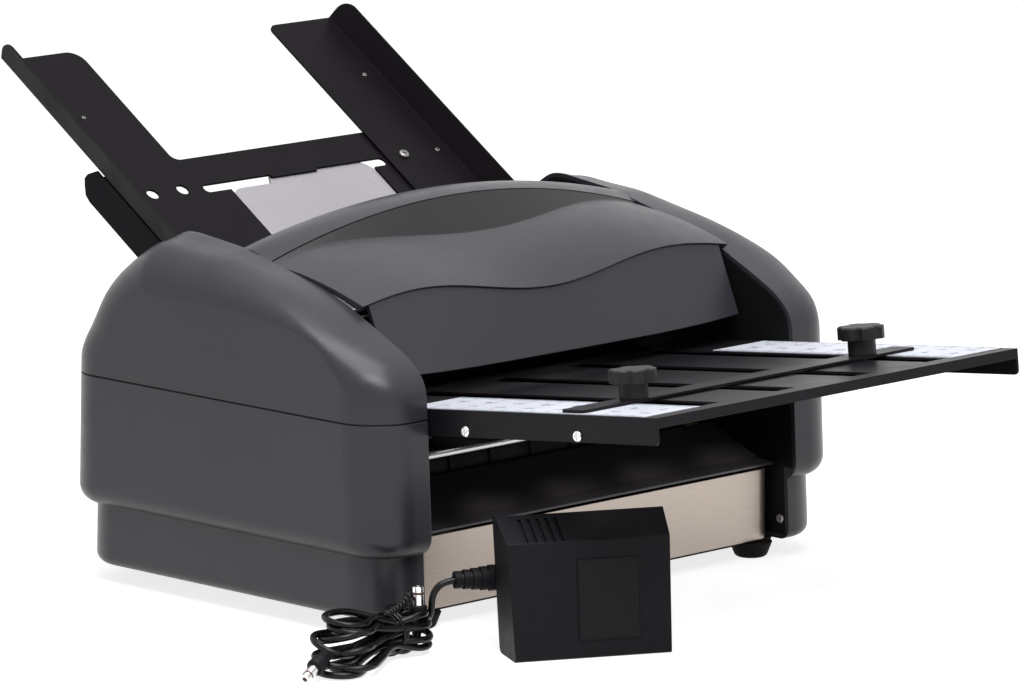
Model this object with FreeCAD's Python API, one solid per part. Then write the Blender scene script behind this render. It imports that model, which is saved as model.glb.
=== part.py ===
import FreeCAD, Part
import math
import os

V = FreeCAD.Vector

# Desk paper folding machine.  Millimetres.  +X is the machine's right, -Y its front, +Z up.
# The origin is on the table top, under the middle of the machine.

# ---- casing ----
HALF_GAP = 132.5            # middle plane to the inner edge of each cheek
CHEEK_WIDTH = 36.0
CHEEK_ROUND = 25.0          # rounding of the cheek's outer edges
CHEEK_OUT = HALF_GAP + CHEEK_WIDTH
WALL = 2.5
SEAM_Z = 110.0              # joint between upper and lower casing
GROOVE = 1.0                # width of the groove along that joint
GROOVE_DEEP = 1.2
STEP_Z = 41.0               # underside of the wide part of a cheek
STEP_IN = 6.6               # how far the foot of a cheek is set in
CASE_BOTTOM = 9.0
PROFILE_LOW_Z = 118.0       # where the cheek's upright edges turn into the arch
FRONT_LEAN = 0.042          # the front edge leans back by this much per unit of height
FRONT_LOW_Y = -88.5
REAR_LOW_Y = 152.0
REAR_LEAN = -0.039

# Arch of the cheek at its inner edge, front to rear: y, z, direction in degrees towards the
# cheek's core, share of the outer rounding taken there, fall towards the outside.
CHEEK_ARCH = [
    (-83.4, 128.0, -14, 1.0, 0.0), (-80.0, 133.0, -23, 0.85, 0.0), (-64.3, 144.0, -53, 0.5, 0.0),
    (-44.5, 153.6, -64, 0.3, 0.0), (-26.0, 162.0, -69, 0.4, 0.0), (0.0, 170.3, -74, 0.6, 0.0),
    (25.6, 176.3, -78, 0.75, 0.5), (45.0, 180.9, -83, 0.9, 1.2), (70.0, 184.0, -88, 1.0, 2.2),
    (84.0, 185.4, -92, 1.0, 2.4), (92.0, 184.6, -105, 1.0, 2.4), (99.0, 181.0, -118, 1.0, 2.0),
    (112.0, 171.5, -128, 1.0, 1.0), (128.0, 156.0, -142, 1.0, 0.0), (140.0, 137.0, -162, 1.0, 0.0)]

# ---- hood between the cheeks ----
CREST_Y = 45.0
CREST_Z = 197.5
CREST_FALL = 16.5           # fall of the crest from the middle to the cheeks
RECESS_Y = 29.0             # front edge of the crown band
RECESS_Z = 196.0
RECESS_FALL = 19.7
RECESS_DEPTH_Y = 20.6       # length of the lens-shaped recess in the middle
RECESS_SLOPE = 0.8
WAVE_LOW_Z = 156.3          # the crease in the middle
WAVE_RISE = 9.3
WAVE_LENGTH = 180.0
HOOD_HALF = 132.0
PANEL_HALF = 126.5
PANEL_FOOT_Y = -53.0
PANEL_FOOT_Z = 124.0
PANEL_SLOPE = 0.424         # run back per unit of height
HOOD_WALL = 2.6

# ---- side frames and shafts ----
FRAME_IN = 132.6
FRAME_OUT = 134.6
SHAFT_R = 4.0
RUN_CLEAR = 0.05            # radial play of a shaft in its bush
BUSH_R = 6.0
ROLLER_PITCH = 25.0
ROLLER_R = 12.3
NIP_Y = 14.0
ROLLERS = {                 # centre y, z of each fold roller
    1: (NIP_Y, 117.0),
    2: (NIP_Y, 92.0),
    3: (NIP_Y - ROLLER_PITCH, 92.0),
    4: (NIP_Y - ROLLER_PITCH, 67.0)}
SLEEVE_HALF = 116.0
GEAR_X = (136.5, 142.5)
GEAR_TEETH = 25
GEAR_MODULE = 1.0
PULLEY_X = (145.0, 151.0)
FEED_PULLEY_R = 9.0
DRIVEN_PULLEY_R = 16.0
MOTOR_PULLEY_R = 7.0
MOTOR_YZ = (100.0, 43.0)
MOTOR_R = 17.0
BELT_GAP = 0.3
BELT_THICK = 1.5

# ---- feed tray (local: v runs down the slope from the top edge, w is the normal) ----
TRAY_TOP = (243.1, 257.2)
TRAY_PITCH = 33.8
SHEET = 1.2
TRAY_FOLD_X = 109.0         # fold of the guide's fence on the right
TRAY_LEFT_X = 122.0         # fold of the tray's own fence on the left
WING_OUT = 5.1
WING_UP = 14.0
WING_END = 212.0
TRAY_LENGTH = 232.0
ARM_LENGTH = 91.2
ARM_IN_X = 72.0
GUIDE_IN_X = 63.5
SLOT_V = 115.0
NOTCH_HALF = 52.0
GUIDE_LIFT = 0.3
GUIDE_TOP = 2.0             # how far the guide's top edge stays behind the tray's
GUIDE_SCREW = (75.7, -114.1)
GUIDE_RIVETS = [(97.9, -49.8), (100.9, -114.0)]
TRAY_RIVET = (-105.0, -50.4)
FEED_TYRE_R = 15.0
FEED_V = 236.0              # where the tyre meets the tray

# ---- fold table 1 (local: v runs back from the front edge, w is the normal) ----
TABLE_FRONT = (-242.6, 131.7)
TABLE_PITCH = 5.96
TABLE_HALF = 131.0
TABLE_LENGTH = 236.0
TABLE_DEEP = 13.5           # depth of the side flanges
RULER_IN = 91.0
SLOT_XS = (-82.0, -28.0, 28.0, 82.0)
SLOT_WIDE = 14.0
SLOT_V_FROM = 11.5
SLOT_V_TO = 214.0
STOP_V = 61.0
STOP_WIDE = 16.0
STOP_X = (-127.5, 113.0)
KNOB_XS = {-1: -84.0, 1: 81.5}
KNOB_R = 12.0
KNOB_STEM_R = 7.2
KNOB_STEM = 8.0
KNOB_HEAD = 6.8

# ---- fold table 2 ----
TABLE2_TOP_Z = 75.0
TABLE2_HALF = 118.0
TABLE2_Y = (5.0, 184.0)
STOP2_Y = 118.0

# ---- base ----
PAN_Z = 8.0
FOOT_XY = [(121, -66.5), (-121, -66.5), (119, 128), (-119, 128)]
FRONT_PLATE_Y = -70.5
FRONT_PLATE_Z = (9.3, 46.6)
EXIT_BAR_YZ = (-68.4, 86.9)
TIE_RODS = [(-30.0, 137.0), (80.0, 104.0), (-26.0, 27.0), (60.0, 27.0)]
REAR_COVER_Y = 148.0
JACK_X = -100.0
SWITCH_X = -66.0
JACK_Z = 36.0
ROCKER_Y = 143.5            # the switch rocker pivots about Z here

# ---- power adapter, lying unplugged in front of the machine ----
ADAPTER_CORNER = (-145.5, -160.5)   # front left corner on the table top
ADAPTER_TURN = -28.2
# Front half of the case: corners of its bottom and of its sloping top, x, y, z.
ADAPTER_BOTTOM = [(0.0, 0.0, 0.0), (80.5, 0.0, 0.0), (80.8, 27.2, 0.0), (-0.3, 27.2, 0.0)]
ADAPTER_TOP = [(-2.4, 6.2, 58.4), (81.3, 6.2, 58.4), (83.9, 28.4, 71.5), (-3.7, 28.4, 71.5)]
ADAPTER_BACK = 46.0                 # depth with the narrower back half
CORD_D = 3.5
RELIEF_YZ = (36.0, 36.0)
RELIEF_X = (5.0, -20.8)
ADAPTER_SLOPE = 30.5                # of the adapter's top, in degrees
HANK_CENTRE = (-194.0, -110.0)
HANK_TURN = 19.0
HANK_HALF = 46.0
# Sections of the tied hank along its length: place, width, height.
HANK_SECTIONS = [
    (-1.0, 14, 12), (-0.82, 31, 23), (-0.5, 38, 28), (-0.1, 32, 27), (0.3, 20, 18),
    (0.55, 22, 20), (0.82, 23, 22), (1.0, 11, 10)]
# Cord from the strain relief down to the hank.
CORD_FALL = [(-152.6, -116.6, 35.6), (-157.2, -114.6, 31.4), (-156.8, -112.6, 24.6),
             (-154.2, -107.6, 18.0), (-152.5, -102.0, 12.0)]
PLUGS = [((-163.0, -110.0, 10.5), (0.0, 0.02, 1.0)), ((-235.7, -117.5, 11.0), (-0.72, -0.45, -0.18))]


# ------------------------------------------------------------------ helpers

def box(x0, x1, y0, y1, z0, z1):
    return Part.makeBox(x1 - x0, y1 - y0, z1 - z0, V(x0, y0, z0))


def rod_x(x0, x1, y, z, radius):
    return Part.makeCylinder(radius, x1 - x0, V(x0, y, z), V(1, 0, 0))


def rod_y(y0, y1, x, z, radius):
    return Part.makeCylinder(radius, y1 - y0, V(x, y0, z), V(0, 1, 0))


def rod_z(z0, z1, x, y, radius):
    return Part.makeCylinder(radius, z1 - z0, V(x, y, z0), V(0, 0, 1))


def polygon(points):
    return Part.Face(Part.makePolygon(points + points[:1]))


def slab_x(yz, x0, x1):
    """Outline in the YZ plane, drawn out along X."""
    return polygon([V(x0, y, z) for y, z in yz]).extrude(V(x1 - x0, 0, 0))


def slab_z(xy, z0, z1):
    """Outline in the XY plane, drawn out along Z."""
    return polygon([V(x, y, z0) for x, y in xy]).extrude(V(0, 0, z1 - z0))


def slot_z(x0, x1, y0, y1, z0, z1):
    """Round-ended slot along its longer side."""
    along_x = (x1 - x0) > (y1 - y0)
    radius = (y1 - y0) / 2 if along_x else (x1 - x0) / 2
    if along_x:
        middle = (y0 + y1) / 2
        ends = [(x0 + radius, middle), (x1 - radius, middle)]
        core = box(x0 + radius, x1 - radius, y0, y1, z0, z1)
    else:
        middle = (x0 + x1) / 2
        ends = [(middle, y0 + radius), (middle, y1 - radius)]
        core = box(x0, x1, y0 + radius, y1 - radius, z0, z1)
    return core.multiFuse([rod_z(z0, z1, x, y, radius) for x, y in ends]).removeSplitter()


def mirrored(shape):
    return shape.mirror(V(0, 0, 0), V(1, 0, 0))


def bent_strip(yz, thickness, x0, x1):
    """Sheet bent along a line of points in the YZ plane, thickness to the line's left."""
    normals = []
    for (ya, za), (yb, zb) in zip(yz, yz[1:]):
        length = math.hypot(yb - ya, zb - za)
        normals.append((-(zb - za) / length, (yb - ya) / length))
    far = []
    for i, (y, z) in enumerate(yz):
        before = normals[max(i - 1, 0)]
        after = normals[min(i, len(normals) - 1)]
        ny, nz = before[0] + after[0], before[1] + after[1]
        scale = thickness * 2 / (ny * ny + nz * nz)
        far.append((y + ny * scale, z + nz * scale))
    return slab_x(yz + far[::-1], x0, x1)


def edges_at(shape, test):
    return [edge for edge in shape.Edges if test(edge.BoundBox)]


def fillet(shape, radius, test):
    return shape.makeFillet(radius, edges_at(shape, test))


def pan_screw(x, y, z, direction, radius=2.6, height=1.8):
    """Screw head with a cross recess, its flat side at the given point."""
    head = Part.makeCylinder(radius, height, V(0, 0, 0), V(0, 0, 1))
    head = head.makeFillet(height * 0.6, [head.Edges[0]])
    for turn in (0, 90):
        bar = box(-radius * 0.6, radius * 0.6, -0.3, 0.3, height - 0.7, height + 1)
        bar.rotate(V(0, 0, 0), V(0, 0, 1), turn)
        head = head.cut(bar)
    head.Placement = FreeCAD.Placement(V(x, y, z), FreeCAD.Rotation(V(0, 0, 1), direction))
    return head


def on_tray(shape):
    """From the tray's own frame (x, up the slope, normal) to the machine's."""
    placed = shape.copy()
    placed.rotate(V(0, 0, 0), V(1, 0, 0), TRAY_PITCH)
    placed.translate(V(0, *TRAY_TOP))
    return placed


def tray_point(v, w=0.0):
    """Machine y, z of a point v down the tray's slope and w above its plane."""
    c, s = math.cos(math.radians(TRAY_PITCH)), math.sin(math.radians(TRAY_PITCH))
    return TRAY_TOP[0] - v * c - w * s, TRAY_TOP[1] - v * s + w * c


def on_table(shape):
    """From fold table 1's own frame (x, back from its front edge, normal) to the machine's."""
    placed = shape.copy()
    placed.rotate(V(0, 0, 0), V(1, 0, 0), -TABLE_PITCH)
    placed.translate(V(0, *TABLE_FRONT))
    return placed


# ------------------------------------------------------------------ casing

def front_y(z):
    return FRONT_LOW_Y + (z - STEP_Z) * FRONT_LEAN


def rear_y(z):
    return REAR_LOW_Y + (z - STEP_Z) * REAR_LEAN


def arch_section(x, wall, drop, bottom):
    """Cross-section of a cheek's upper part: upright edges joined by the arch."""
    low = [bottom, (bottom + PROFILE_LOW_Z) / 2, PROFILE_LOW_Z]
    outward = min(max((x - HALF_GAP) / (CHEEK_WIDTH - CHEEK_ROUND), 0.0), 1.0)
    points = [V(x, front_y(z) + wall + drop, z) for z in low]
    for y, z, angle, share, fall in CHEEK_ARCH:
        a = math.radians(angle)
        inset = wall + drop * share + fall * outward
        points.append(V(x, y + inset * math.cos(a), z + inset * math.sin(a)))
    points += [V(x, rear_y(z) - wall - drop, z) for z in low[::-1]]
    arch = Part.BSplineCurve()
    arch.interpolate(points)
    return Part.Wire([arch.toShape(), Part.makeLine(points[-1], points[0])])


def rounding_steps(wall, x_from):
    """x and drop of each section, from the inner part round to the outer face."""
    start = CHEEK_OUT - CHEEK_ROUND
    steps = [(x_from, 0.0), ((x_from + start) / 2, 0.0)]
    radius = CHEEK_ROUND - wall
    for degrees in (0, 18, 36, 54, 70, 82, 90):
        a = math.radians(degrees)
        steps.append((start + radius * math.sin(a), radius * (1 - math.cos(a))))
    return steps


def upper_cheek(wall, x_from, bottom):
    sections = [arch_section(x, wall, drop, bottom) for x, drop in rounding_steps(wall, x_from)]
    return Part.makeLoft(sections, True, False)


def plan_section(z, inset, x_from, shrink=0.0):
    """Outline of a cheek seen from above: square inside, rounded outside."""
    front = front_y(z) + inset
    rear = rear_y(z) - inset
    out = CHEEK_OUT - inset
    radius = CHEEK_ROUND - shrink
    d = radius * (1 - math.sqrt(0.5))
    lines = [
        Part.makeLine(V(x_from, rear, z), V(x_from, front, z)),
        Part.makeLine(V(x_from, front, z), V(out - radius, front, z)),
        Part.Arc(V(out - radius, front, z), V(out - d, front + d, z), V(out, front + radius, z)).toShape(),
        Part.makeLine(V(out, front + radius, z), V(out, rear - radius, z)),
        Part.Arc(V(out, rear - radius, z), V(out - d, rear - d, z), V(out - radius, rear, z)).toShape(),
        Part.makeLine(V(out - radius, rear, z), V(x_from, rear, z))]
    return Part.Wire(lines)


def plan_block(z0, z1, inset, x_from, shrink=0.0):
    return Part.makeLoft([plan_section(z, inset, x_from, shrink) for z in (z0, z1)], True, True)


def lower_casing():
    """Right cheek below the seam: a wide shell on a stepped-in foot."""
    inner = HALF_GAP
    block = plan_block(STEP_Z, SEAM_Z - GROOVE / 2, 0, inner)
    block = fillet(block, 10, lambda b: b.ZMax < STEP_Z + 0.01 and b.XMax > inner + 1)
    neck = plan_block(SEAM_Z - GROOVE / 2 - 1, SEAM_Z, GROOVE_DEEP, inner, GROOVE_DEEP)
    foot = plan_block(CASE_BOTTOM, STEP_Z + 2, STEP_IN, inner)
    foot = fillet(foot, 6, lambda b: b.ZMax < CASE_BOTTOM + 0.01 and b.XMax > inner + 1)
    shell = block.multiFuse([neck, foot])
    open_x = inner - 1
    hollow = plan_block(STEP_Z + 7, SEAM_Z + 1, WALL, open_x, WALL)
    hollow_foot = plan_block(CASE_BOTTOM + WALL, STEP_Z + 8, STEP_IN + WALL, open_x, WALL)
    return shell.cut(hollow.fuse(hollow_foot)).removeSplitter()


def crest_z(x):
    return CREST_Z - CREST_FALL * (x / HALF_GAP) ** 2


def recess_z(x):
    return RECESS_Z - RECESS_FALL * (x / HALF_GAP) ** 2


def crown_section(x):
    """The crown band: a strip over the top, rolled down at its rear edge."""
    top = crest_z(x)
    outer = [V(x, RECESS_Y, recess_z(x)), V(x, 37, (recess_z(x) + top) / 2 + 0.8),
             V(x, CREST_Y, top), V(x, 52, top - 1.4), V(x, 56.5, top - 6)]
    inner = [V(x, 53.6, top - 6.6), V(x, 50, top - 4.2), V(x, CREST_Y, top - 3.2),
             V(x, 37, (recess_z(x) + top) / 2 - 2.0), V(x, RECESS_Y + 0.6, recess_z(x) - 2.6)]
    edges = []
    for points in (outer, inner):
        curve = Part.BSplineCurve()
        curve.interpolate(points)
        edges.append(curve.toShape())
    return Part.Wire([edges[0], Part.makeLine(outer[-1], inner[0]), edges[1],
                      Part.makeLine(inner[-1], outer[0])])


def upper_casing():
    """Both cheeks above the seam and the crown band that joins them, one moulding."""
    cheek = upper_cheek(0, HALF_GAP, SEAM_Z + GROOVE / 2)
    neck = plan_block(SEAM_Z, SEAM_Z + GROOVE / 2 + 1, GROOVE_DEEP, HALF_GAP, GROOVE_DEEP)
    hollow = upper_cheek(WALL, HALF_GAP - 1, SEAM_Z - 1)
    cheek = cheek.fuse(neck).cut(hollow)
    end = FRAME_IN
    stations = [end * i / 6 for i in range(-6, 7)]
    crown = Part.makeLoft([crown_section(x) for x in stations], True, False)
    return cheek.multiFuse([mirrored(cheek), crown]).removeSplitter()


def wave_z(x):
    return WAVE_LOW_Z + WAVE_RISE * math.sin(math.pi * x / WAVE_LENGTH) ** 2


def panel_y(z):
    return PANEL_FOOT_Y + (z - 125.0) * PANEL_SLOPE


def recess_end_y(x):
    share = (1 + math.cos(math.pi * x / HALF_GAP)) / 2
    return RECESS_Y - 1.6 - (RECESS_DEPTH_Y - 1.2) * share


def band_section(x):
    """Recessed facet, then the waved band down to its overhanging crease."""
    top_y, top_z = RECESS_Y - 0.4, recess_z(x) - 0.5
    fold_y = recess_end_y(x)
    fold_z = recess_z(x) - RECESS_SLOPE * (RECESS_Y - fold_y)
    crease_z = wave_z(x)
    crease_y = panel_y(crease_z) - 1.6
    middle_y = (fold_y + crease_y) / 2
    middle_z = (fold_z + crease_z) / 2 + 2.2
    outer = [V(x, fold_y, fold_z), V(x, middle_y, middle_z), V(x, crease_y, crease_z)]
    inner = [V(x, crease_y + 3.0, crease_z - 2.8), V(x, middle_y, middle_z - HOOD_WALL),
             V(x, fold_y, fold_z - HOOD_WALL)]
    curves = []
    for points in (outer, inner):
        curve = Part.BSplineCurve()
        curve.interpolate(points)
        curves.append(curve.toShape())
    top = V(x, top_y, top_z)
    under = V(x, top_y, top_z - HOOD_WALL)
    return Part.Wire([
        Part.makeLine(top, outer[0]), curves[0], Part.makeLine(outer[-1], inner[0]), curves[1],
        Part.makeLine(inner[-1], under), Part.makeLine(under, top)])


def panel_section(x):
    top_z = wave_z(x) - 1.0
    foot_z = PANEL_FOOT_Z + 2.6 * (x / PANEL_HALF) ** 4
    foot_y = panel_y(foot_z)
    top_y = panel_y(top_z)
    return Part.makePolygon([
        V(x, top_y, top_z), V(x, foot_y, foot_z), V(x, foot_y + HOOD_WALL, foot_z),
        V(x, top_y + HOOD_WALL, top_z), V(x, top_y, top_z)])


def front_hood():
    """Moulded hood: recess, wave and the front panel below it."""
    band = Part.makeLoft([band_section(HOOD_HALF * i / 9) for i in range(-9, 10)], True, False)
    panel = Part.makeLoft([panel_section(PANEL_HALF * i / 9) for i in range(-9, 10)], True, False)
    return band.fuse(panel).removeSplitter()


# ------------------------------------------------------------------ frames and base

def frame_outline(inset):
    """Side frame outline: follows the cheek, a little inside its shell."""
    x = FRAME_IN
    arch = arch_section(x, inset, 0.0, SEAM_Z).Edges[0]
    first, last = V(x, front_y(SEAM_Z) + inset, SEAM_Z), V(x, rear_y(SEAM_Z) - inset, SEAM_Z)
    foot_in = inset + STEP_IN
    knee = STEP_Z + 7.3
    bottom = CASE_BOTTOM + WALL + 0.3
    corners = [
        last, V(x, rear_y(knee) - inset, knee), V(x, rear_y(knee) - foot_in, knee),
        V(x, rear_y(bottom) - foot_in, bottom), V(x, front_y(bottom) + foot_in, bottom),
        V(x, front_y(knee) + foot_in, knee), V(x, front_y(knee) + inset, knee), first]
    lines = [Part.makeLine(a, b) for a, b in zip(corners, corners[1:])]
    return Part.Wire([arch] + lines)


def side_frame(with_motor):
    plate = Part.Face(frame_outline(WALL + 0.3)).extrude(V(FRAME_OUT - FRAME_IN, 0, 0))
    x0, x1 = FRAME_IN - 1, FRAME_OUT + 1
    for y, z in list(ROLLERS.values()) + [feed_centre()]:
        plate = plate.cut(rod_x(x0, x1, y, z, BUSH_R))
    for y, z in TIE_RODS:
        plate = plate.cut(rod_x(x0, x1, y, z, 2.0))
    plate = plate.cut(rod_x(x0, x1, *EXIT_BAR_YZ, 1.6))
    if with_motor:
        plate = plate.cut(rod_x(x0, x1, *MOTOR_YZ, 6.0))
    return plate


def cross_rods():
    """Tie rods between the side frames, and the bright bar over the exit."""
    rods = []
    for y, z in TIE_RODS:
        rod = rod_x(-FRAME_IN, FRAME_IN, y, z, 4.0)
        rods.append(rod.fuse(rod_x(-FRAME_OUT, FRAME_OUT, y, z, 2.0)).removeSplitter())
    bar = rod_x(-FRAME_IN, FRAME_IN, *EXIT_BAR_YZ, 1.8)
    rods.append(bar.fuse(rod_x(-FRAME_OUT, FRAME_OUT, *EXIT_BAR_YZ, 1.6)).removeSplitter())
    return Part.makeCompound(rods)


def small_screws():
    """Tie rod screws outside the frames, small screws on the inner walls, a tray rivet."""
    heads = []
    for side in (-1, 1):
        for y, z in TIE_RODS:
            heads.append(pan_screw(side * FRAME_OUT, y, z, V(side, 0, 0), 4.0, 2.4))
        heads.append(pan_screw(side * FRAME_IN, -77.2, 20.0, V(-side, 0, 0), 2.5, 1.6))
    heads.append(on_tray(pan_screw(*TRAY_RIVET, 0, V(0, 0, 1), 1.2, 0.5)))
    return Part.makeCompound(heads)


def base_pan():
    half = HALF_GAP - 0.1
    pan = box(-half, half, FRONT_PLATE_Y, 144, PAN_Z, PAN_Z + SHEET)
    wall_z = PAN_Z + 14
    left = box(-half, -half + SHEET, FRONT_PLATE_Y + 28, 144, PAN_Z, wall_z)
    rear = box(-half, half, 144 - SHEET, 144, PAN_Z, wall_z)
    pan = pan.multiFuse([left, mirrored(left), rear]).removeSplitter()
    for side in (-1, 1):
        for i in range(7):
            x = side * 70
            y = 20 + i * 9
            pan = pan.cut(slot_z(x - 18, x + 18, y, y + 3.5, PAN_Z - 1, PAN_Z + 3))
    return pan


def rubber_feet():
    feet = []
    for x, y in FOOT_XY:
        foot = Part.makeCone(8.2, 11.3, PAN_Z, V(x, y, 0), V(0, 0, 1))
        feet.append(foot.makeFillet(3.0, [e for e in foot.Edges if e.BoundBox.ZMax < 0.01]))
    return Part.makeCompound(feet)


def front_plate():
    """Brushed front panel, its ends bent round and back."""
    out = FRAME_IN - 0.6
    bend = 10.0
    back = 16.0
    y = FRONT_PLATE_Y
    t = SHEET

    def outline(r, x_out, y_front):
        q = r * math.sqrt(0.5)
        centre = (x_out - r, y_front + r)
        return [
            (V(x_out, y + bend + back, 0), V(x_out, centre[1], 0)),
            (V(x_out, centre[1], 0), V(centre[0] + q, centre[1] - q, 0), V(centre[0], y_front, 0))]

    outer = outline(bend, out, y - t)
    inner = outline(bend - t, out - t, y)
    edges = []
    for side in (1, -1):
        for straight, bent in ((outer[0], outer[1]), (inner[0], inner[1])):
            points = [V(p.x * side, p.y, 0) for p in straight]
            edges.append(Part.makeLine(*points))
            points = [V(p.x * side, p.y, 0) for p in bent]
            edges.append(Part.Arc(*points).toShape())
        edges.append(Part.makeLine(V(side * out, y + bend + back, 0), V(side * (out - t), y + bend + back, 0)))
    for level, radius, x_out in ((y - t, bend, out), (y, bend - t, out - t)):
        reach = x_out - radius
        edges.append(Part.makeLine(V(-reach, level, 0), V(reach, level, 0)))
    wire = Part.Wire(Part.__sortEdges__(edges))
    plate = Part.Face(wire).extrude(V(0, 0, FRONT_PLATE_Z[1] - FRONT_PLATE_Z[0]))
    plate.translate(V(0, 0, FRONT_PLATE_Z[0]))
    return plate


def exit_chute():
    """Glossy chute that carries folded sheets out over the front panel."""
    line = [(-26.5, 64.0), (-60.0, 49.6), (-71.6, 48.0)]
    return bent_strip(line[::-1], SHEET, -FRAME_IN + 0.4, FRAME_IN - 0.4)


def upper_exit_guide():
    line = [(-27.0, 84.0), (-60.0, 86.6), (-66.2, 86.4)]
    return bent_strip(line[::-1], SHEET, -FRAME_IN + 0.4, FRAME_IN - 0.4)


def rear_cover():
    """Rear cover with a mouth for fold table 2, its top bent in under the tray."""
    line = [(REAR_COVER_Y - WALL, 12.0), (REAR_COVER_Y - WALL, 136.0), (133.0, 150.0)]
    cover = bent_strip(line[::-1], WALL, -FRAME_IN + 0.2, FRAME_IN - 0.2)
    cover = cover.cut(box(-TABLE2_HALF - 3, TABLE2_HALF + 3, 120, 160, 64.0, 100.0))
    cover = cover.cut(box(JACK_X - 7, JACK_X + 7, 140, 160, JACK_Z - 7, JACK_Z + 7))
    cover = cover.cut(box(SWITCH_X - 10.4, SWITCH_X + 10.4, 140, 160, JACK_Z - 7, JACK_Z + 7))
    for i in range(8):
        x = 30 + i * 10
        cover = cover.cut(box(x, x + 4, 140, 160, 24, 50))
    return cover


def power_jack():
    """Round low-voltage inlet with its centre pin."""
    body = box(JACK_X - 7, JACK_X + 7, 132, REAR_COVER_Y + 0.6, JACK_Z - 7, JACK_Z + 7)
    body = body.cut(rod_y(138, 160, JACK_X, JACK_Z, 2.9))
    return body.fuse(rod_y(132, 147, JACK_X, JACK_Z, 0.9)).removeSplitter()


def switch_frame():
    """Frame round the rocker, with a bearing hole above and below it."""
    frame = box(SWITCH_X - 10.4, SWITCH_X + 10.4, 134, REAR_COVER_Y + 1.2, JACK_Z - 7, JACK_Z + 7)
    frame = frame.cut(box(SWITCH_X - 8.6, SWITCH_X + 8.6, 138, 160, JACK_Z - 5.2, JACK_Z + 5.2))
    return frame.cut(rod_z(JACK_Z - 6.4, JACK_Z + 6.4, SWITCH_X, ROCKER_Y, 1.5 + RUN_CLEAR))


def power_rocker():
    """Rocker, tilted on with its left end pressed in, between two round trunnions."""
    half = 7.4
    y = REAR_COVER_Y - 2
    outline = [(-half, y - 4), (half, y - 4), (half, y + 3.2), (0, y + 1.4), (-half, y + 0.4)]
    rocker = slab_z([(SWITCH_X + a, b) for a, b in outline], JACK_Z - 4.9, JACK_Z + 4.9)
    return rocker.fuse(rod_z(JACK_Z - 6.2, JACK_Z + 6.2, SWITCH_X, ROCKER_Y, 1.5)).removeSplitter()


def circuit_board():
    board = box(-124, -48, 128.4, 130, 16, 58)
    parts = [
        rod_y(116, 128.4, -112, 46, 5.0), rod_y(118, 128.4, -112, 30, 4.0),
        box(-98, -84, 122, 128.4, 40, 50), box(-76, -60, 125, 128.4, 22, 34),
        box(-98, -86, 112, 128.4, 20, 34), box(JACK_X - 5, JACK_X + 5, 130, 132, JACK_Z - 5, JACK_Z + 5),
        box(SWITCH_X - 8, SWITCH_X + 8, 130, 134, JACK_Z - 4, JACK_Z + 4)]
    return board.multiFuse(parts).removeSplitter()


# ------------------------------------------------------------------ rollers and drive

def feed_centre():
    return tray_point(FEED_V, FEED_TYRE_R + 0.4)


def shaft(y, z, reach):
    return rod_x(-FRAME_OUT - 2, reach, y, z, SHAFT_R)


def roller_shaft(number):
    """Steel shaft with its gear and, on rollers 1 and 3, its belt pulley."""
    centre = ROLLERS[number]
    parts = [gear(number)]
    if number == 1:
        parts.append(pulley(*centre, FEED_PULLEY_R))
    if number == 3:
        parts.append(pulley(*centre, DRIVEN_PULLEY_R))
    reach = PULLEY_X[1] + 2 if len(parts) > 1 else GEAR_X[1] + 1
    return shaft(*centre, reach).multiFuse(parts).removeSplitter()


def roller_sleeve(number):
    """Rubber sleeve with shallow grooves."""
    y, z = ROLLERS[number]
    sleeve = rod_x(-SLEEVE_HALF, SLEEVE_HALF, y, z, ROLLER_R)
    for i in range(-3, 4):
        x = i * 29.0
        ring = rod_x(x - 1.5, x + 1.5, y, z, ROLLER_R + 1).cut(rod_x(x - 2, x + 2, y, z, ROLLER_R - 1.2))
        sleeve = sleeve.cut(ring)
    return sleeve.cut(rod_x(-SLEEVE_HALF - 1, SLEEVE_HALF + 1, y, z, SHAFT_R))


def feed_shaft():
    y, z = feed_centre()
    return shaft(y, z, PULLEY_X[1] + 2).fuse(pulley(y, z, FEED_PULLEY_R)).removeSplitter()


def feed_tyres():
    y, z = feed_centre()
    tyres = []
    for x in (-42, 0, 42):
        tyre = rod_x(x - 8, x + 8, y, z, FEED_TYRE_R)
        for groove in (-4.5, -1.5, 1.5, 4.5):
            a, b = x + groove - 0.8, x + groove + 0.8
            tyre = tyre.cut(rod_x(a, b, y, z, FEED_TYRE_R + 1).cut(rod_x(a, b, y, z, FEED_TYRE_R - 1)))
        tyres.append(tyre.cut(rod_x(x - 11, x + 11, y, z, SHAFT_R)))
    return Part.makeCompound(tyres)


def shaft_bushes():
    bushes = []
    for y, z in list(ROLLERS.values()) + [feed_centre()]:
        barrel = rod_x(FRAME_IN, FRAME_OUT, y, z, BUSH_R)
        flange = rod_x(FRAME_IN - 1.2, FRAME_IN, y, z, BUSH_R + 1.6)
        bush = barrel.fuse(flange).cut(rod_x(FRAME_IN - 3, FRAME_OUT + 1, y, z, SHAFT_R + RUN_CLEAR))
        bush = bush.removeSplitter()
        bushes += [bush, mirrored(bush)]
    return Part.makeCompound(bushes)


def gear_phase(number):
    """Direction of one tooth of each roller's gear, in degrees, so that each pair meshes."""
    phase = 90.0
    for before in range(1, number):
        (ya, za), (yb, zb) = ROLLERS[before], ROLLERS[before + 1]
        toward = math.degrees(math.atan2(zb - za, yb - ya))
        phase = 2 * toward + 180.0 - phase + 180.0 / GEAR_TEETH
    return phase


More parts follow.
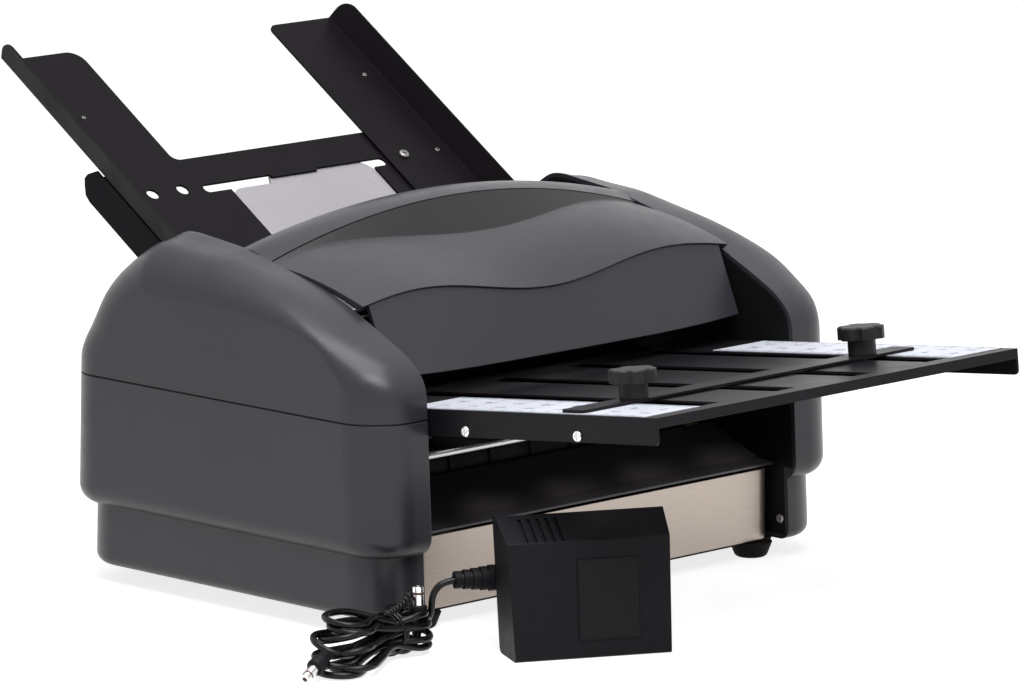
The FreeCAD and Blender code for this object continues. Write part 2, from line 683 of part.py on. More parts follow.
def gear(number):
    """Spur gear with trapezoid teeth."""
    y, z = ROLLERS[number]
    pitch_r = GEAR_TEETH * GEAR_MODULE / 2
    tip_r, root_r = pitch_r + 0.75 * GEAR_MODULE, pitch_r - 1.15 * GEAR_MODULE
    step = 2 * math.pi / GEAR_TEETH
    half_root, half_pitch, half_tip = 0.28 * step, 0.19 * step, 0.09 * step
    flank = ((root_r, -half_root), (pitch_r, -half_pitch), (tip_r, -half_tip),
             (tip_r, half_tip), (pitch_r, half_pitch), (root_r, half_root))
    points = []
    for i in range(GEAR_TEETH):
        middle = math.radians(gear_phase(number)) + i * step
        for radius, offset in flank:
            a = middle + offset
            points.append((y + radius * math.cos(a), z + radius * math.sin(a)))
    wheel = slab_x(points, *GEAR_X)
    web = rod_x(GEAR_X[0] + 4, GEAR_X[1] + 1, y, z, root_r - 2.2)
    return wheel.cut(web.cut(rod_x(GEAR_X[0], GEAR_X[1] + 2, y, z, SHAFT_R + 2.4)))


def pulley(y, z, radius, flange=1.2):
    x0, x1 = PULLEY_X
    wheel = rod_x(x0, x1, y, z, radius)
    rims = [rod_x(x0 - 0.8, x0, y, z, radius + flange), rod_x(x1, x1 + 0.8, y, z, radius + flange)]
    return wheel.multiFuse(rims).removeSplitter()


def belt_loop(centre_a, radius_a, centre_b, radius_b):
    """Closed band round two pulleys."""
    x0, x1 = PULLEY_X[0] + 0.6, PULLEY_X[1] - 0.6
    (ya, za), (yb, zb) = centre_a, centre_b
    distance = math.hypot(yb - ya, zb - za)
    along = math.atan2(zb - za, yb - ya)

    def loop(grow):
        ra, rb = radius_a + grow, radius_b + grow
        tilt = math.acos((ra - rb) / distance)
        pa = [V(x0, ya + ra * math.cos(along + s * tilt), za + ra * math.sin(along + s * tilt)) for s in (1, -1)]
        pb = [V(x0, yb + rb * math.cos(along + s * tilt), zb + rb * math.sin(along + s * tilt)) for s in (1, -1)]
        back = V(x0, ya - ra * math.cos(along), za - ra * math.sin(along))
        front = V(x0, yb + rb * math.cos(along), zb + rb * math.sin(along))
        wire = Part.Wire([
            Part.makeLine(pa[0], pb[0]), Part.Arc(pb[0], front, pb[1]).toShape(),
            Part.makeLine(pb[1], pa[1]), Part.Arc(pa[1], back, pa[0]).toShape()])
        return Part.Face(wire).extrude(V(x1 - x0, 0, 0))

    return loop(BELT_GAP + BELT_THICK).cut(loop(BELT_GAP))


def motor_case():
    y, z = MOTOR_YZ
    x1 = FRAME_IN
    case = rod_x(x1 - 62, x1 - 3, y, z, MOTOR_R)
    face = box(x1 - 3, x1, y - 18, y + 18, z - 18, z + 18)
    boss = rod_x(x1, x1 + 3.2, y, z, 5.6)
    tail = rod_x(x1 - 66, x1 - 62, y, z, 6.0)
    return case.multiFuse([face, boss, tail]).removeSplitter().cut(
        rod_x(x1 - 20, x1 + 5, y, z, 1.5 + RUN_CLEAR))


def motor_pulley():
    """The motor's shaft with its pulley."""
    spindle = rod_x(FRAME_IN - 19, PULLEY_X[1] + 2, *MOTOR_YZ, 1.5)
    return spindle.fuse(pulley(*MOTOR_YZ, MOTOR_PULLEY_R)).removeSplitter()


# ------------------------------------------------------------------ separator pad

PAD_PIVOT_V = 214.0
PAD_PIVOT_W = -9.0


def pad_arm():
    """Plate under the feed tyres, hinged on a pin behind them."""
    plate = box(-50, 50, -FEED_V - 7, -PAD_PIVOT_V + 2, -5.6, -4.0)
    ears = [box(x, x + 3, -PAD_PIVOT_V - 5, -PAD_PIVOT_V + 5, PAD_PIVOT_W - 5, -4.0) for x in (-50, 47)]
    arm = plate.multiFuse(ears)
    hole = rod_x(-60, 60, -PAD_PIVOT_V, PAD_PIVOT_W, 1.5 + RUN_CLEAR)
    return on_tray(arm.cut(hole).removeSplitter())


def separator_pads():
    pads = [box(x - 9, x + 9, -FEED_V - 6, -FEED_V + 7, -4.0, 0) for x in (-42, 0, 42)]
    return on_tray(Part.makeCompound(pads))


def pad_bridge():
    """Cross bar between the frames, with the pin that the pad arm swings on."""
    bar = box(-FRAME_IN, FRAME_IN, -PAD_PIVOT_V - 8, -PAD_PIVOT_V + 8, PAD_PIVOT_W - 13, PAD_PIVOT_W - 11.4)
    ears = [box(x, x + 4, -PAD_PIVOT_V - 6, -PAD_PIVOT_V + 6, PAD_PIVOT_W - 12, PAD_PIVOT_W + 4)
            for x in (-61, 57)]
    bridge = bar.multiFuse(ears)
    tongue = box(-14, 14, -FEED_V - 4, -PAD_PIVOT_V - 7, PAD_PIVOT_W - 13, PAD_PIVOT_W - 11.4)
    pin = rod_x(-62, 62, -PAD_PIVOT_V, PAD_PIVOT_W, 1.5)
    return on_tray(bridge.multiFuse([tongue, pin]).removeSplitter())


def pad_spring():
    """Coil spring under the pad arm."""
    height = -5.6 - (PAD_PIVOT_W - 11.4)
    helix = Part.makeHelix(height / 5, height - 0.9, 3.6)
    section = Part.Wire(Part.makeCircle(0.42, V(3.6, 0, 0), V(0, 1, 0)))
    coil = Part.Wire(helix.Edges).makePipeShell([section], True, True)
    coil.translate(V(0, -FEED_V + 3, PAD_PIVOT_W - 11.4 + 0.45))
    return on_tray(coil)


# ------------------------------------------------------------------ feed tray

def tray_box(x0, x1, v0, v1, w0, w1):
    return box(x0, x1, -v1, -v0, w0, w1)


def fence(fold_x, v0, v1):
    """Steep fence along the tray's left side, its top corner rounded."""
    long = math.hypot(WING_OUT, WING_UP)
    out_x, out_w = -WING_UP / long * SHEET, -WING_OUT / long * SHEET
    outline = [(0.0, 0.0), (-WING_OUT, WING_UP), (out_x - WING_OUT, out_w + WING_UP),
               (out_x, out_w), (0.0, -SHEET)]
    face = polygon([V(x - fold_x, -v1, w) for x, w in outline])
    wall = face.extrude(V(0, v1 - v0, 0))
    return fillet(wall, 9, lambda b: b.YLength < 0.01 and b.YMin > -v0 - 0.01 and b.ZMin > WING_UP - 0.6)


def feed_tray():
    """Left arm, cross bar and lower plate in one piece of sheet, with the left fence."""
    low = TRAY_LENGTH
    arm = tray_box(-TRAY_LEFT_X, -ARM_IN_X, 0, ARM_LENGTH + 5, -SHEET, 0)
    arm = fillet(arm, 9, lambda b: b.ZLength > 1 and b.YMin > -0.1 and b.XMin > -ARM_IN_X - 0.1)
    plate = tray_box(-TRAY_LEFT_X, 121, ARM_LENGTH, low, -SHEET, 0)
    sheet = arm.fuse(plate).removeSplitter()
    w0, w1 = -SHEET - 1, 1
    cuts = [slot_z(-69, 62, -SLOT_V - 3, -SLOT_V + 3, w0, w1),
            slot_z(65.5, 77.9, -116.1, -112.1, w0, w1),
            slot_z(92.0, 105.0, -116.1, -112.1, w0, w1),
            rod_z(w0, w1, -82.6, -SLOT_V + 2, 3.6), rod_z(w0, w1, -103.5, -SLOT_V + 2, 3.6),
            tray_box(-NOTCH_HALF, NOTCH_HALF, SLOT_V, low + 1, w0, w1)]
    for cut in cuts:
        sheet = sheet.cut(cut)
    sheet = fillet(sheet, 5, lambda b: b.ZLength > 1 and abs(b.XMin + ARM_IN_X) < 0.1
                   and abs(b.YMin + ARM_LENGTH) < 0.1)
    tab = fillet(tray_box(-20, 14, 111, 113.9, -SHEET, 0), 1.5, lambda b: b.ZLength > 1 and b.YMax < -113)
    wall = fence(TRAY_LEFT_X, -2.8, WING_END)
    strip = tray_box(-TRAY_LEFT_X, -TRAY_LEFT_X + 4, -2.8, 1, -SHEET, 0)
    return on_tray(sheet.multiFuse([tab, strip, wall]).removeSplitter())


def right_guide():
    """Adjustable side guide: a flat plate with a fence, just clear of the tray."""
    top = -GUIDE_TOP
    plate = box(GUIDE_IN_X, TRAY_FOLD_X, 14 - TRAY_LENGTH, top, GUIDE_LIFT, GUIDE_LIFT + SHEET)
    plate = fillet(plate, 5, lambda b: b.ZLength > 1 and b.YMin > top - 0.1 and b.XMax < GUIDE_IN_X + 0.1)
    wall = mirrored(fence(TRAY_FOLD_X, GUIDE_TOP, WING_END))
    wall.translate(V(0, 0, GUIDE_LIFT + SHEET))
    guide = plate.fuse(wall).removeSplitter()
    return on_tray(guide.cut(rod_z(-1, 3, GUIDE_SCREW[0], GUIDE_SCREW[1], 1.5)))


def guide_fasteners():
    """Clamp screw through the guide and the tray's slot, its nut below, and rivets."""
    x, y = GUIDE_SCREW
    top = GUIDE_LIFT + SHEET
    head = pan_screw(x, y, top, V(0, 0, 1), 3.0, 1.8)
    screw = head.fuse(rod_z(-4.4, top, x, y, 1.5)).removeSplitter()
    corners = [math.radians(60 * i) for i in range(6)]
    nut = slab_z([(x + 3.2 * math.cos(a), y + 3.2 * math.sin(a)) for a in corners], -4.0, -1.6)
    rivets = [pan_screw(*place, top, V(0, 0, 1), 1.4, 0.5) for place in GUIDE_RIVETS]
    return on_tray(Part.makeCompound([screw, nut.cut(rod_z(-5, 0, x, y, 1.5))] + rivets))


def support_plate():
    """Pale plate that carries the sheets' middle inside the tray's notch."""
    high, low, foot = -110.2, -117.0, 8 - TRAY_LENGTH
    outline = [(-53, foot), (52.6, foot), (52.6, high), (-18.0, high), (-22.0, low), (-53, low)]
    plate = slab_z(outline, -SHEET - 2.2, -SHEET - 0.2)
    plate = fillet(plate, 12, lambda b: b.ZLength > 1 and b.XMin > 52 and b.YMin > high - 0.1)
    plate = fillet(plate, 9.5, lambda b: b.ZLength > 1 and b.XMax < -52 and b.YMin > low - 0.1)
    return on_tray(plate)


def tray_bracket():
    """Left bracket: upright plate under the tray's edge, lip inward, tab to the frame."""
    outline = [(-88.3, -2.2), (-83.9, -7.9), (-83.2, -11.2), (-85.2, -14.3), (-88.7, -18.3),
               (-93.1, -19.4), (-205.0, -19.6), (-205.0, -2.2)]
    skirt = slab_x(outline, -123.4, -121.9)
    lip = box(-123.4, -106.0, -200, -94, -2.7, -SHEET)
    tab = box(-FRAME_IN, -121.9, -205, -203.5, -19.6, -2.2)
    return on_tray(skirt.multiFuse([lip, tab]).removeSplitter())


# ------------------------------------------------------------------ fold table 1

def table_top():
    """Slotted deck with turned-down side flanges and a front lip."""
    deck = box(-TABLE_HALF, TABLE_HALF, 0, TABLE_LENGTH, -SHEET, 0)
    flange = box(-TABLE_HALF, -TABLE_HALF + SHEET, 0, TABLE_LENGTH - 34, -TABLE_DEEP, 0)
    flange = fillet(flange, 2.5, lambda b: b.XLength > 1 and b.ZMax < -TABLE_DEEP + 0.1 and b.YMax < 0.1)
    lip = box(-TABLE_HALF, TABLE_HALF, 0, 1.4, -5.2, 0)
    deck = deck.multiFuse([flange, mirrored(flange), lip]).removeSplitter()
    for x in SLOT_XS:
        half = SLOT_WIDE / 2
        deck = deck.cut(box(x - half, x + half, SLOT_V_FROM, SLOT_V_TO, -SHEET - 1, 1))
    return on_table(deck)


def table_bottom():
    """Lower plate of the pocket, its joggled edges a sheet's fold below the deck."""
    half = TABLE_HALF - 18
    plate = box(-half, half, 3, TABLE_LENGTH - 16, -4.4, -3.2)
    edges = [box(side - 3, side + 3, 3, TABLE_LENGTH - 16, -3.2, -SHEET) for side in (-108, 108)]
    plate = plate.multiFuse(edges).removeSplitter()
    for x in SLOT_XS:
        h = SLOT_WIDE / 2
        plate = plate.cut(box(x - h, x + h, SLOT_V_FROM, SLOT_V_TO - 6, -6, 0))
    return on_table(plate)


def rulers():
    """Pale scale strips along both edges of the deck."""
    strip = box(RULER_IN, TABLE_HALF - 1.2, 9, TABLE_LENGTH - 60, 0, 0.3)
    return on_table(Part.makeCompound([strip, mirrored(strip)]))


def table_screws():
    heads = []
    for side in (-1, 1):
        for v in (54.5, 133.0):
            heads.append(pan_screw(side * TABLE_HALF, v, -10.4, V(side, 0, 0), 2.8, 1.4))
    return on_table(Part.makeCompound(heads))


def table_1_rail():
    """Left runner on the side frame, under the table's side flange."""
    top = -TABLE_DEEP - 0.4
    rail = box(-FRAME_IN, -126.5, 163, 206, top - 1.5, top)
    web = box(-FRAME_IN, -FRAME_IN + 1.0, 163, 206, top - 7, top)
    return on_table(rail.fuse(web).removeSplitter())


def stop_bar():
    """Paper stop across the table, with fingers down into the pocket."""
    half = STOP_WIDE / 2
    bar = box(*STOP_X, STOP_V - half, STOP_V + half, 0.4, 1.9)
    bar = fillet(bar, 2.5, lambda b: b.ZLength > 1)
    fingers = [box(x - 5, x + 5, STOP_V + half - 1.5, STOP_V + half, -3.0, 1.9) for x in (-28, 28)]
    bar = bar.multiFuse(fingers).removeSplitter()
    for x in KNOB_XS.values():
        bar = bar.cut(rod_z(-1, 3, x, STOP_V, 2.0 + RUN_CLEAR))
    return on_table(bar)


def stop_nuts():
    """Clamp plates under the deck, one below each knob."""
    plates = []
    for x in KNOB_XS.values():
        plate = box(x - 9.5, x + 9.5, STOP_V - 6, STOP_V + 6, -7.2, -4.7)
        plates.append(plate.cut(rod_z(-9, 0, x, STOP_V, 2.0 + RUN_CLEAR)))
    return on_table(Part.makeCompound(plates))


def stop_knob(side):
    """T-shaped clamp knob: round stem, wider grip with flutes, threaded stud."""
    x = KNOB_XS[side]
    base = 1.95
    stem = rod_z(base, base + KNOB_STEM, x, STOP_V, KNOB_STEM_R)
    head = rod_z(base + KNOB_STEM, base + KNOB_STEM + KNOB_HEAD, x, STOP_V, KNOB_R)
    for i in range(6):
        a = math.radians(60 * i + 30)
        flute = rod_z(base, base + 40, x + 14.6 * math.cos(a), STOP_V + 14.6 * math.sin(a), 4.4)
        head = head.cut(flute)
    top = base + KNOB_STEM + KNOB_HEAD
    head = fillet(head, 1.2, lambda b: b.ZMin > top - 0.01)
    stud = rod_z(-9.0, base, x, STOP_V, 2.0)
    return on_table(stem.multiFuse([head, stud]).removeSplitter())


# ------------------------------------------------------------------ fold table 2

def table2_plate(z0, z1, y_rear):
    half = TABLE2_HALF
    plate = box(-half, half, TABLE2_Y[0], y_rear, z0, z1)
    for x in (-80, 80):
        plate = plate.cut(box(x - 5, x + 5, 60, y_rear - 8, z0 - 1, z1 + 1))
    return plate


def table2_top():
    plate = table2_plate(TABLE2_TOP_Z - SHEET, TABLE2_TOP_Z, TABLE2_Y[1])
    z0 = TABLE2_TOP_Z - SHEET
    entry = bent_strip([(TABLE2_Y[0] - 0.5, z0 + 3.2), (TABLE2_Y[0] + 4, z0)], SHEET, -TABLE2_HALF, TABLE2_HALF)
    return plate.fuse(entry).removeSplitter()


def table2_bottom():
    return table2_plate(TABLE2_TOP_Z - 4.6, TABLE2_TOP_Z - 3.4, TABLE2_Y[1])


def table2_spacers():
    strips = [box(s - 4, s + 4, TABLE2_Y[0] + 4, TABLE2_Y[1] - 2, TABLE2_TOP_Z - 3.4, TABLE2_TOP_Z - SHEET)
              for s in (-113, 113)]
    return Part.makeCompound(strips)


def table_2():
    return table2_top().multiFuse([table2_bottom(), table2_spacers()]).removeSplitter()


def table_2_rail():
    """Left ledge on the side frame that carries fold table 2."""
    z = TABLE2_TOP_Z - 5.0
    ledge = box(-FRAME_IN, -TABLE2_HALF + 6, 30, 140, z - 1.5, z)
    web = box(-FRAME_IN, -FRAME_IN + 1.4, 30, 140, z - 7, z)
    return ledge.fuse(web).removeSplitter()


def table_rails():
    rails = [table_1_rail(), table_2_rail()]
    return Part.makeCompound(rails + [mirrored(rail) for rail in rails])


def stop2_slider():
    """Stop of fold table 2: a bar over the deck, two arms back to a pull handle."""
    z = TABLE2_TOP_Z + 0.4
    bar = box(-92, 92, STOP2_Y - 6, STOP2_Y + 6, z, z + 1.5)
    fingers = [box(x - 4, x + 4, STOP2_Y - 6, STOP2_Y - 4.5, z - 3.6, z + 1.5) for x in (-80, 80)]
    arms = [box(x - 6, x + 6, STOP2_Y, 176, z, z + 1.5) for x in (-60, 60)]
    handle = box(-66, 66, 174, 183, z, z + 9)
    handle = fillet(handle, 2.5, lambda b: b.XLength > 100)
    return bar.multiFuse(fingers + arms + [handle]).removeSplitter()


# ------------------------------------------------------------------ power adapter

def at_adapter(shape):
    placed = shape.copy()
    placed.rotate(V(0, 0, 0), V(0, 0, 1), ADAPTER_TURN)
    placed.translate(V(*ADAPTER_CORNER, 0))
    return placed


def adapter_case():
    """Moulded block with a sloping top and five vent slots; its back half is set in."""
    rings = [Part.makePolygon([V(*p) for p in points + points[:1]]) for points in (ADAPTER_BOTTOM, ADAPTER_TOP)]
    block = Part.makeLoft(rings, True, True)
    block = block.makeFillet(3.4, edges_at(block, lambda b: b.YMin > 27 and b.ZLength < 1))
    block = block.makeFillet(1.8, edges_at(block, lambda b: b.YMax < 6.3 and b.ZLength < 1))
    back = slab_x([(20, 3), (ADAPTER_BACK, 3), (ADAPTER_BACK, 60), (20, 60)], 5, 76)
    back = back.makeFillet(2.0, edges_at(back, lambda b: b.YMin > ADAPTER_BACK - 0.1))
    block = block.fuse(back).removeSplitter()
    for i in range(5):
        x = 8.0 + i * 4.6
        slot = box(-0.9, 0.9, 0, 17.6, -1.6, 4)
        slot.rotate(V(0, 0, 0), V(1, 0, 0), ADAPTER_SLOPE)
        slot.translate(V(x, 6.6, 58.6))
        block = block.cut(slot)
    return at_adapter(block)


def adapter_label():
    """Blank label plate on the adapter's leaning front."""
    plate = box(33.4, 64.8, -0.4, 0, 9.5, 49)
    plate.rotate(V(0, 0, 0), V(1, 0, 0), -math.degrees(math.atan2(6.2, 58.4)))
    return at_adapter(plate)


def adapter_prongs():
    deep = ADAPTER_BACK
    blades = []
    for x in (40 - 6.35, 40 + 6.35):
        blade = box(x - 0.75, x + 0.75, deep, deep + 16, 27, 33.5)
        blades.append(blade.cut(rod_x(x - 2, x + 2, deep + 12.5, 30.2, 1.6)))
    return at_adapter(Part.makeCompound(blades))


def strain_relief():
    """Ribbed sleeve where the cord leaves the adapter's side."""
    y, z = RELIEF_YZ
    root, mouth = RELIEF_X
    core = Part.makeCone(5.6, 3.2, root - mouth, V(root, y, z), V(-1, 0, 0))
    ribs = []
    for i in range(6):
        x = root - 1.0 - i * 4.4
        radius = 7.0 - i * 0.52
        ribs.append(Part.makeCylinder(radius, 3.0, V(x, y, z), V(-1, 0, 0)))
    relief = core.multiFuse(ribs).removeSplitter()
    relief = relief.cut(rod_x(mouth - 1, -3, y, z, CORD_D / 2))
    return at_adapter(relief)


def adapter_point(x, y, z):
    a = math.radians(ADAPTER_TURN)
    return V(ADAPTER_CORNER[0] + x * math.cos(a) - y * math.sin(a),
             ADAPTER_CORNER[1] + x * math.sin(a) + y * math.cos(a), z)


def round_path(points):
    """Straight runs joined by the largest tangent arcs that they allow."""
    edges = []
    radii = []
    last = points[0]
    for a, b, c in zip(points, points[1:], points[2:]):
        half_turn = (b - a).getAngle(c - b) / 2
        cut = 0.45 * min((b - a).Length, (c - b).Length)
        radius = cut / math.tan(half_turn)
        inward, outward = (b - a).normalize(), (c - b).normalize()
        start, end = b - inward * cut, b + outward * cut
        centre = b + (outward - inward).normalize() * math.hypot(radius, cut)
        middle = centre + (b - centre).normalize() * radius
        edges += [Part.LineSegment(last, start).toShape(), Part.Arc(start, middle, end).toShape()]
        radii.append(round(radius, 1))
        last = end
    edges.append(Part.LineSegment(last, points[-1]).toShape())
    return Part.Wire(edges), radii


def adapter_cord():
    points = [adapter_point(RELIEF_X[1] + 4, *RELIEF_YZ)] + [V(*point) for point in CORD_FALL]
    path, radii = round_path(points)
    ring = Part.Wire(Part.makeCircle(CORD_D / 2, points[0], points[1] - points[0]))
    cord = path.makePipeShell([ring], True, True)
    section = math.pi * CORD_D ** 2 / 4
    print("cord radii", radii, "volume over section times length", round(cord.Volume / section / path.Length, 4))
    return cord


def cord_hank():
    """Outer shape of the tied hank: narrow at its tie, fuller at both ends."""
    rings = []
    for place, wide, high in HANK_SECTIONS:
        x, z = place * HANK_HALF, high / 2
        rings.append(Part.Wire(Part.Ellipse(V(x, wide / 2, z), V(x, 0, high), V(x, 0, z)).toShape()))
    hank = Part.makeLoft(rings, True, False)
    hank.rotate(V(0, 0, 0), V(0, 0, 1), HANK_TURN)
    hank.translate(V(*HANK_CENTRE, 0))
    return hank


def cord_plugs():
    """Two low-voltage plugs in the hank: a moulded grip with a metal barrel."""
    plugs = []
    for base, aim in PLUGS:
        grip = Part.makeCone(3.6, 4.6, 14, V(0, 0, 0), V(0, 0, 1))
        barrel = rod_z(14, 23.5, 0, 0, 2.75).cut(rod_z(16, 24, 0, 0, 1.1))
        plug = grip.fuse(barrel).removeSplitter()
        plug.Placement = FreeCAD.Placement(V(*base), FreeCAD.Rotation(V(0, 0, 1), V(*aim)))
        plugs.append(plug)
    return Part.makeCompound(plugs)


# ------------------------------------------------------------------ all nodes

def casing_nodes():
    casing = lower_casing()
    frame = side_frame(False)
    return {
        "upper_casing": upper_casing(),
        "left_lower_casing": mirrored(casing),
        "right_lower_casing": casing,
        "front_hood": front_hood(),
        "left_side_frame": mirrored(frame),
        "right_side_frame": side_frame(True),
        "cross_rods": cross_rods(),
        "small_screws": small_screws(),
        "base_pan": base_pan(),
        "rubber_feet": rubber_feet(),
        "front_plate": front_plate(),
        "exit_chute": exit_chute(),
        "upper_exit_guide": upper_exit_guide(),
        "rear_cover": rear_cover(),
        "power_jack": power_jack(),
        "switch_frame": switch_frame(),
        "power_rocker": power_rocker(),
        "circuit_board": circuit_board()}


def drive_nodes():
    nodes = {
        "feed_shaft": feed_shaft(),
        "feed_tyres": feed_tyres(),
        "shaft_bushes": shaft_bushes(),
        "motor_case": motor_case(),
        "motor_pulley": motor_pulley(),
        "drive_belt": belt_loop(MOTOR_YZ, MOTOR_PULLEY_R, ROLLERS[3], DRIVEN_PULLEY_R),
        "feed_belt": belt_loop(ROLLERS[1], FEED_PULLEY_R, feed_centre(), FEED_PULLEY_R),
        "pad_arm": pad_arm(),
        "separator_pads": separator_pads(),
        "pad_bridge": pad_bridge(),
        "pad_spring": pad_spring()}
    for number in ROLLERS:
        nodes["roller_%d_shaft" % number] = roller_shaft(number)
        nodes["roller_%d_sleeve" % number] = roller_sleeve(number)
    return nodes


def tray_nodes():
    bracket = tray_bracket()
    return {
        "feed_tray": feed_tray(),
        "tray_brackets": Part.makeCompound([bracket, mirrored(bracket)]),
        "support_plate": support_plate(),
        "right_guide": right_guide(),
        "guide_fasteners": guide_fasteners()}


def table_nodes():
    return {
        "table_1_top": table_top(),
        "table_1_bottom": table_bottom(),
        "table_1_screws": table_screws(),
        "rulers": rulers(),
        "stop_1_bar": stop_bar(),
        "stop_1_nuts": stop_nuts(),
        "stop_1_knob_left": stop_knob(-1),
        "stop_1_knob_right": stop_knob(1),
        "table_2": table_2(),
        "stop_2_slider": stop2_slider(),
        "table_rails": table_rails()}


def adapter_nodes():
    return {
        "adapter_case": adapter_case(),
        "adapter_label": adapter_label(),
        "adapter_prongs": adapter_prongs(),
        "strain_relief": strain_relief(),
        "adapter_cord": adapter_cord(),
        "cord_hank": cord_hank(),
        "cord_plugs": cord_plugs()}


def build():
    nodes = {}
    for group in (casing_nodes, drive_nodes, tray_nodes, table_nodes, adapter_nodes):
        nodes.update(group())
    return nodes


if __name__ == "__main__":
    os.makedirs("parts", exist_ok=True)
    for name, shape in build().items():
        shape.exportStep("parts/" + name + ".step")
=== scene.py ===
import math

import bmesh
import bpy
from mathutils import Matrix, Vector


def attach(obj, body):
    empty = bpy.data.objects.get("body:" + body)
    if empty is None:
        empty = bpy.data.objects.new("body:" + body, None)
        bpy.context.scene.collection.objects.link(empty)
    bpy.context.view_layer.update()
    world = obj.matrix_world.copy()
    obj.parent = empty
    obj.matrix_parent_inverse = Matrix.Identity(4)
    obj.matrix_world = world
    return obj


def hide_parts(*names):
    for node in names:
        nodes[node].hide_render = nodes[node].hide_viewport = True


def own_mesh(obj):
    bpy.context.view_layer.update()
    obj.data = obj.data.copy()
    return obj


MM = 0.001
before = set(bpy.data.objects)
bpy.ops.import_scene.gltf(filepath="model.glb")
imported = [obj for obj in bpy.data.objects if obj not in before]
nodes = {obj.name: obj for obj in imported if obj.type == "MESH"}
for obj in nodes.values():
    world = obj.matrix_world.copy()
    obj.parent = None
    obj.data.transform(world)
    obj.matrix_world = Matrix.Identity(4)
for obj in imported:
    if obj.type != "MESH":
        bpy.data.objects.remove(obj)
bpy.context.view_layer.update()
scene = bpy.context.scene
scene.view_settings.view_transform = "Standard"


def mm(*values):
    """Vector in metres from millimetres."""
    return Vector(values) * MM


# ------------------------------------------------------------------ camera

# Azimuth, elevation and roll in degrees.
CAMERA_TURN = (-44.04, 10.27, -0.35)
CAMERA_AT = (-2.6292, -2.6741, 0.8014)
CAMERA_LENS = 259.04
CAMERA_SENSOR = 36
CAMERA_SHIFT = (0.0737, -0.0011)
CAMERA_CLIP = (0.05, 60)


def make_camera():
    """The photograph's viewpoint: a long lens, seen from the front left and a little above."""
    azimuth, elevation, roll = (math.radians(angle) for angle in CAMERA_TURN)
    back = Vector((math.sin(azimuth) * math.cos(elevation),
                   -math.cos(azimuth) * math.cos(elevation), math.sin(elevation)))
    right = Vector((math.cos(azimuth), math.sin(azimuth), 0))
    up = back.cross(right)
    side = right * math.cos(roll) + up * math.sin(roll)
    top = up * math.cos(roll) - right * math.sin(roll)
    data = bpy.data.cameras.new("camera")
    data.lens = CAMERA_LENS
    data.sensor_width = CAMERA_SENSOR
    data.shift_x, data.shift_y = CAMERA_SHIFT
    data.clip_start, data.clip_end = CAMERA_CLIP
    camera = bpy.data.objects.new("camera", data)
    rotation = Matrix((side, top, back)).transposed().to_4x4()
    camera.matrix_world = Matrix.Translation(CAMERA_AT) @ rotation
    scene.collection.objects.link(camera)
    scene.camera = camera


make_camera()


# ------------------------------------------------------------------ adapter cord

# The hank's own frame, in millimetres: u along it, v across it, w up from the floor.
HANK = Matrix.Translation(mm(-194, -110, 0)) @ Matrix.Rotation(math.radians(19), 4, "Z")
CORD_D = 3.5
WAIST_U = 9.0
TIE_U = 15.0
LOWEST_W = 1.9
# From inside the strain relief down to the floor, in the part's frame, then in the hank's.
LEAD_FALL = [
    (-145.6, -120.3, 36), (-152.8, -116.7, 35.9), (-157.9, -114.3, 29.8), (-155.8, -111.8, 20.8),
    (-155.0, -106.4, 12.8)]
LEAD_END = (33, 2, 9.5)
# From the last loop up to the upright plug, in the hank's frame.
PLUG_RISE = [(21.8, -7.4, LOWEST_W), (29.6, -10.1, 8.0), (29.3, -10.1, 16.5)]
# Where each pass of the cord goes through the waist, at WAIST_U: across, up.
WAIST_SLOTS = [
    (1.9, 9.1), (-1.9, 8.8), (5.7, 10.4), (-4.2, 12.3), (0.1, 12.5), (3.8, 13.7), (-5.6, 15.7),
    (-1.9, 16.1), (1.8, 16.5), (4.9, 17.6), (-3.3, 19.4), (0.4, 20.0), (3.9, 6.4), (-6.2, 8.9),
    (0.4, 5.2), (-3.6, 5.6)]
# Loops at the hank's left end, then at its right end: centre u, across, up, tilt in degrees, radius.
LEFT_LOOPS = [
    (-30.0, 5.0, 7.6, 12, 10.8), (-22.5, 1.0, 10.8, -14, 10.8), (-25.5, 8.5, 14.0, 22, 10.8),
    (-20.5, 6.5, 17.4, -12, 10.8), (-15.5, 4.0, 20.8, 5, 10.8), (-15.0, 7.0, 24.6, 8, 10.8),
    (-26.0, -3.0, 4.6, -5, 11.0), (-31.5, 2.0, 2.6, 2, 10.8)]
RIGHT_LOOPS = [
    (27.0, -6.5, 11.0, 14, 10.0), (29.5, -4.5, 14.0, -22, 9.8), (27.0, -5.5, 17.0, 10, 10.0),
    (25.5, -5.0, 19.4, -10, 9.8), (28.0, -4.0, 18.6, 20, 9.8), (29.0, -2.0, 12.6, 66, 9.8),
    (28.5, -5.0, 5.0, 4, 10.0)]
# Corners of the polygon round each fold, in degrees from its far end. Behind them both runs
# close in on each other by FOLD_SLOPE degrees, over a length in radii that each end has.
FOLD_ANGLES = (78.75, 26.25, -26.25, -78.75)
FOLD_SLOPE = 15.0
LEFT_RUN = 1.6
RIGHT_RUN = 1.0


def hank_point(u, v, w):
    """Point of the part's frame, in metres, from millimetres in the hank's frame."""
    return HANK @ mm(u, v, w)


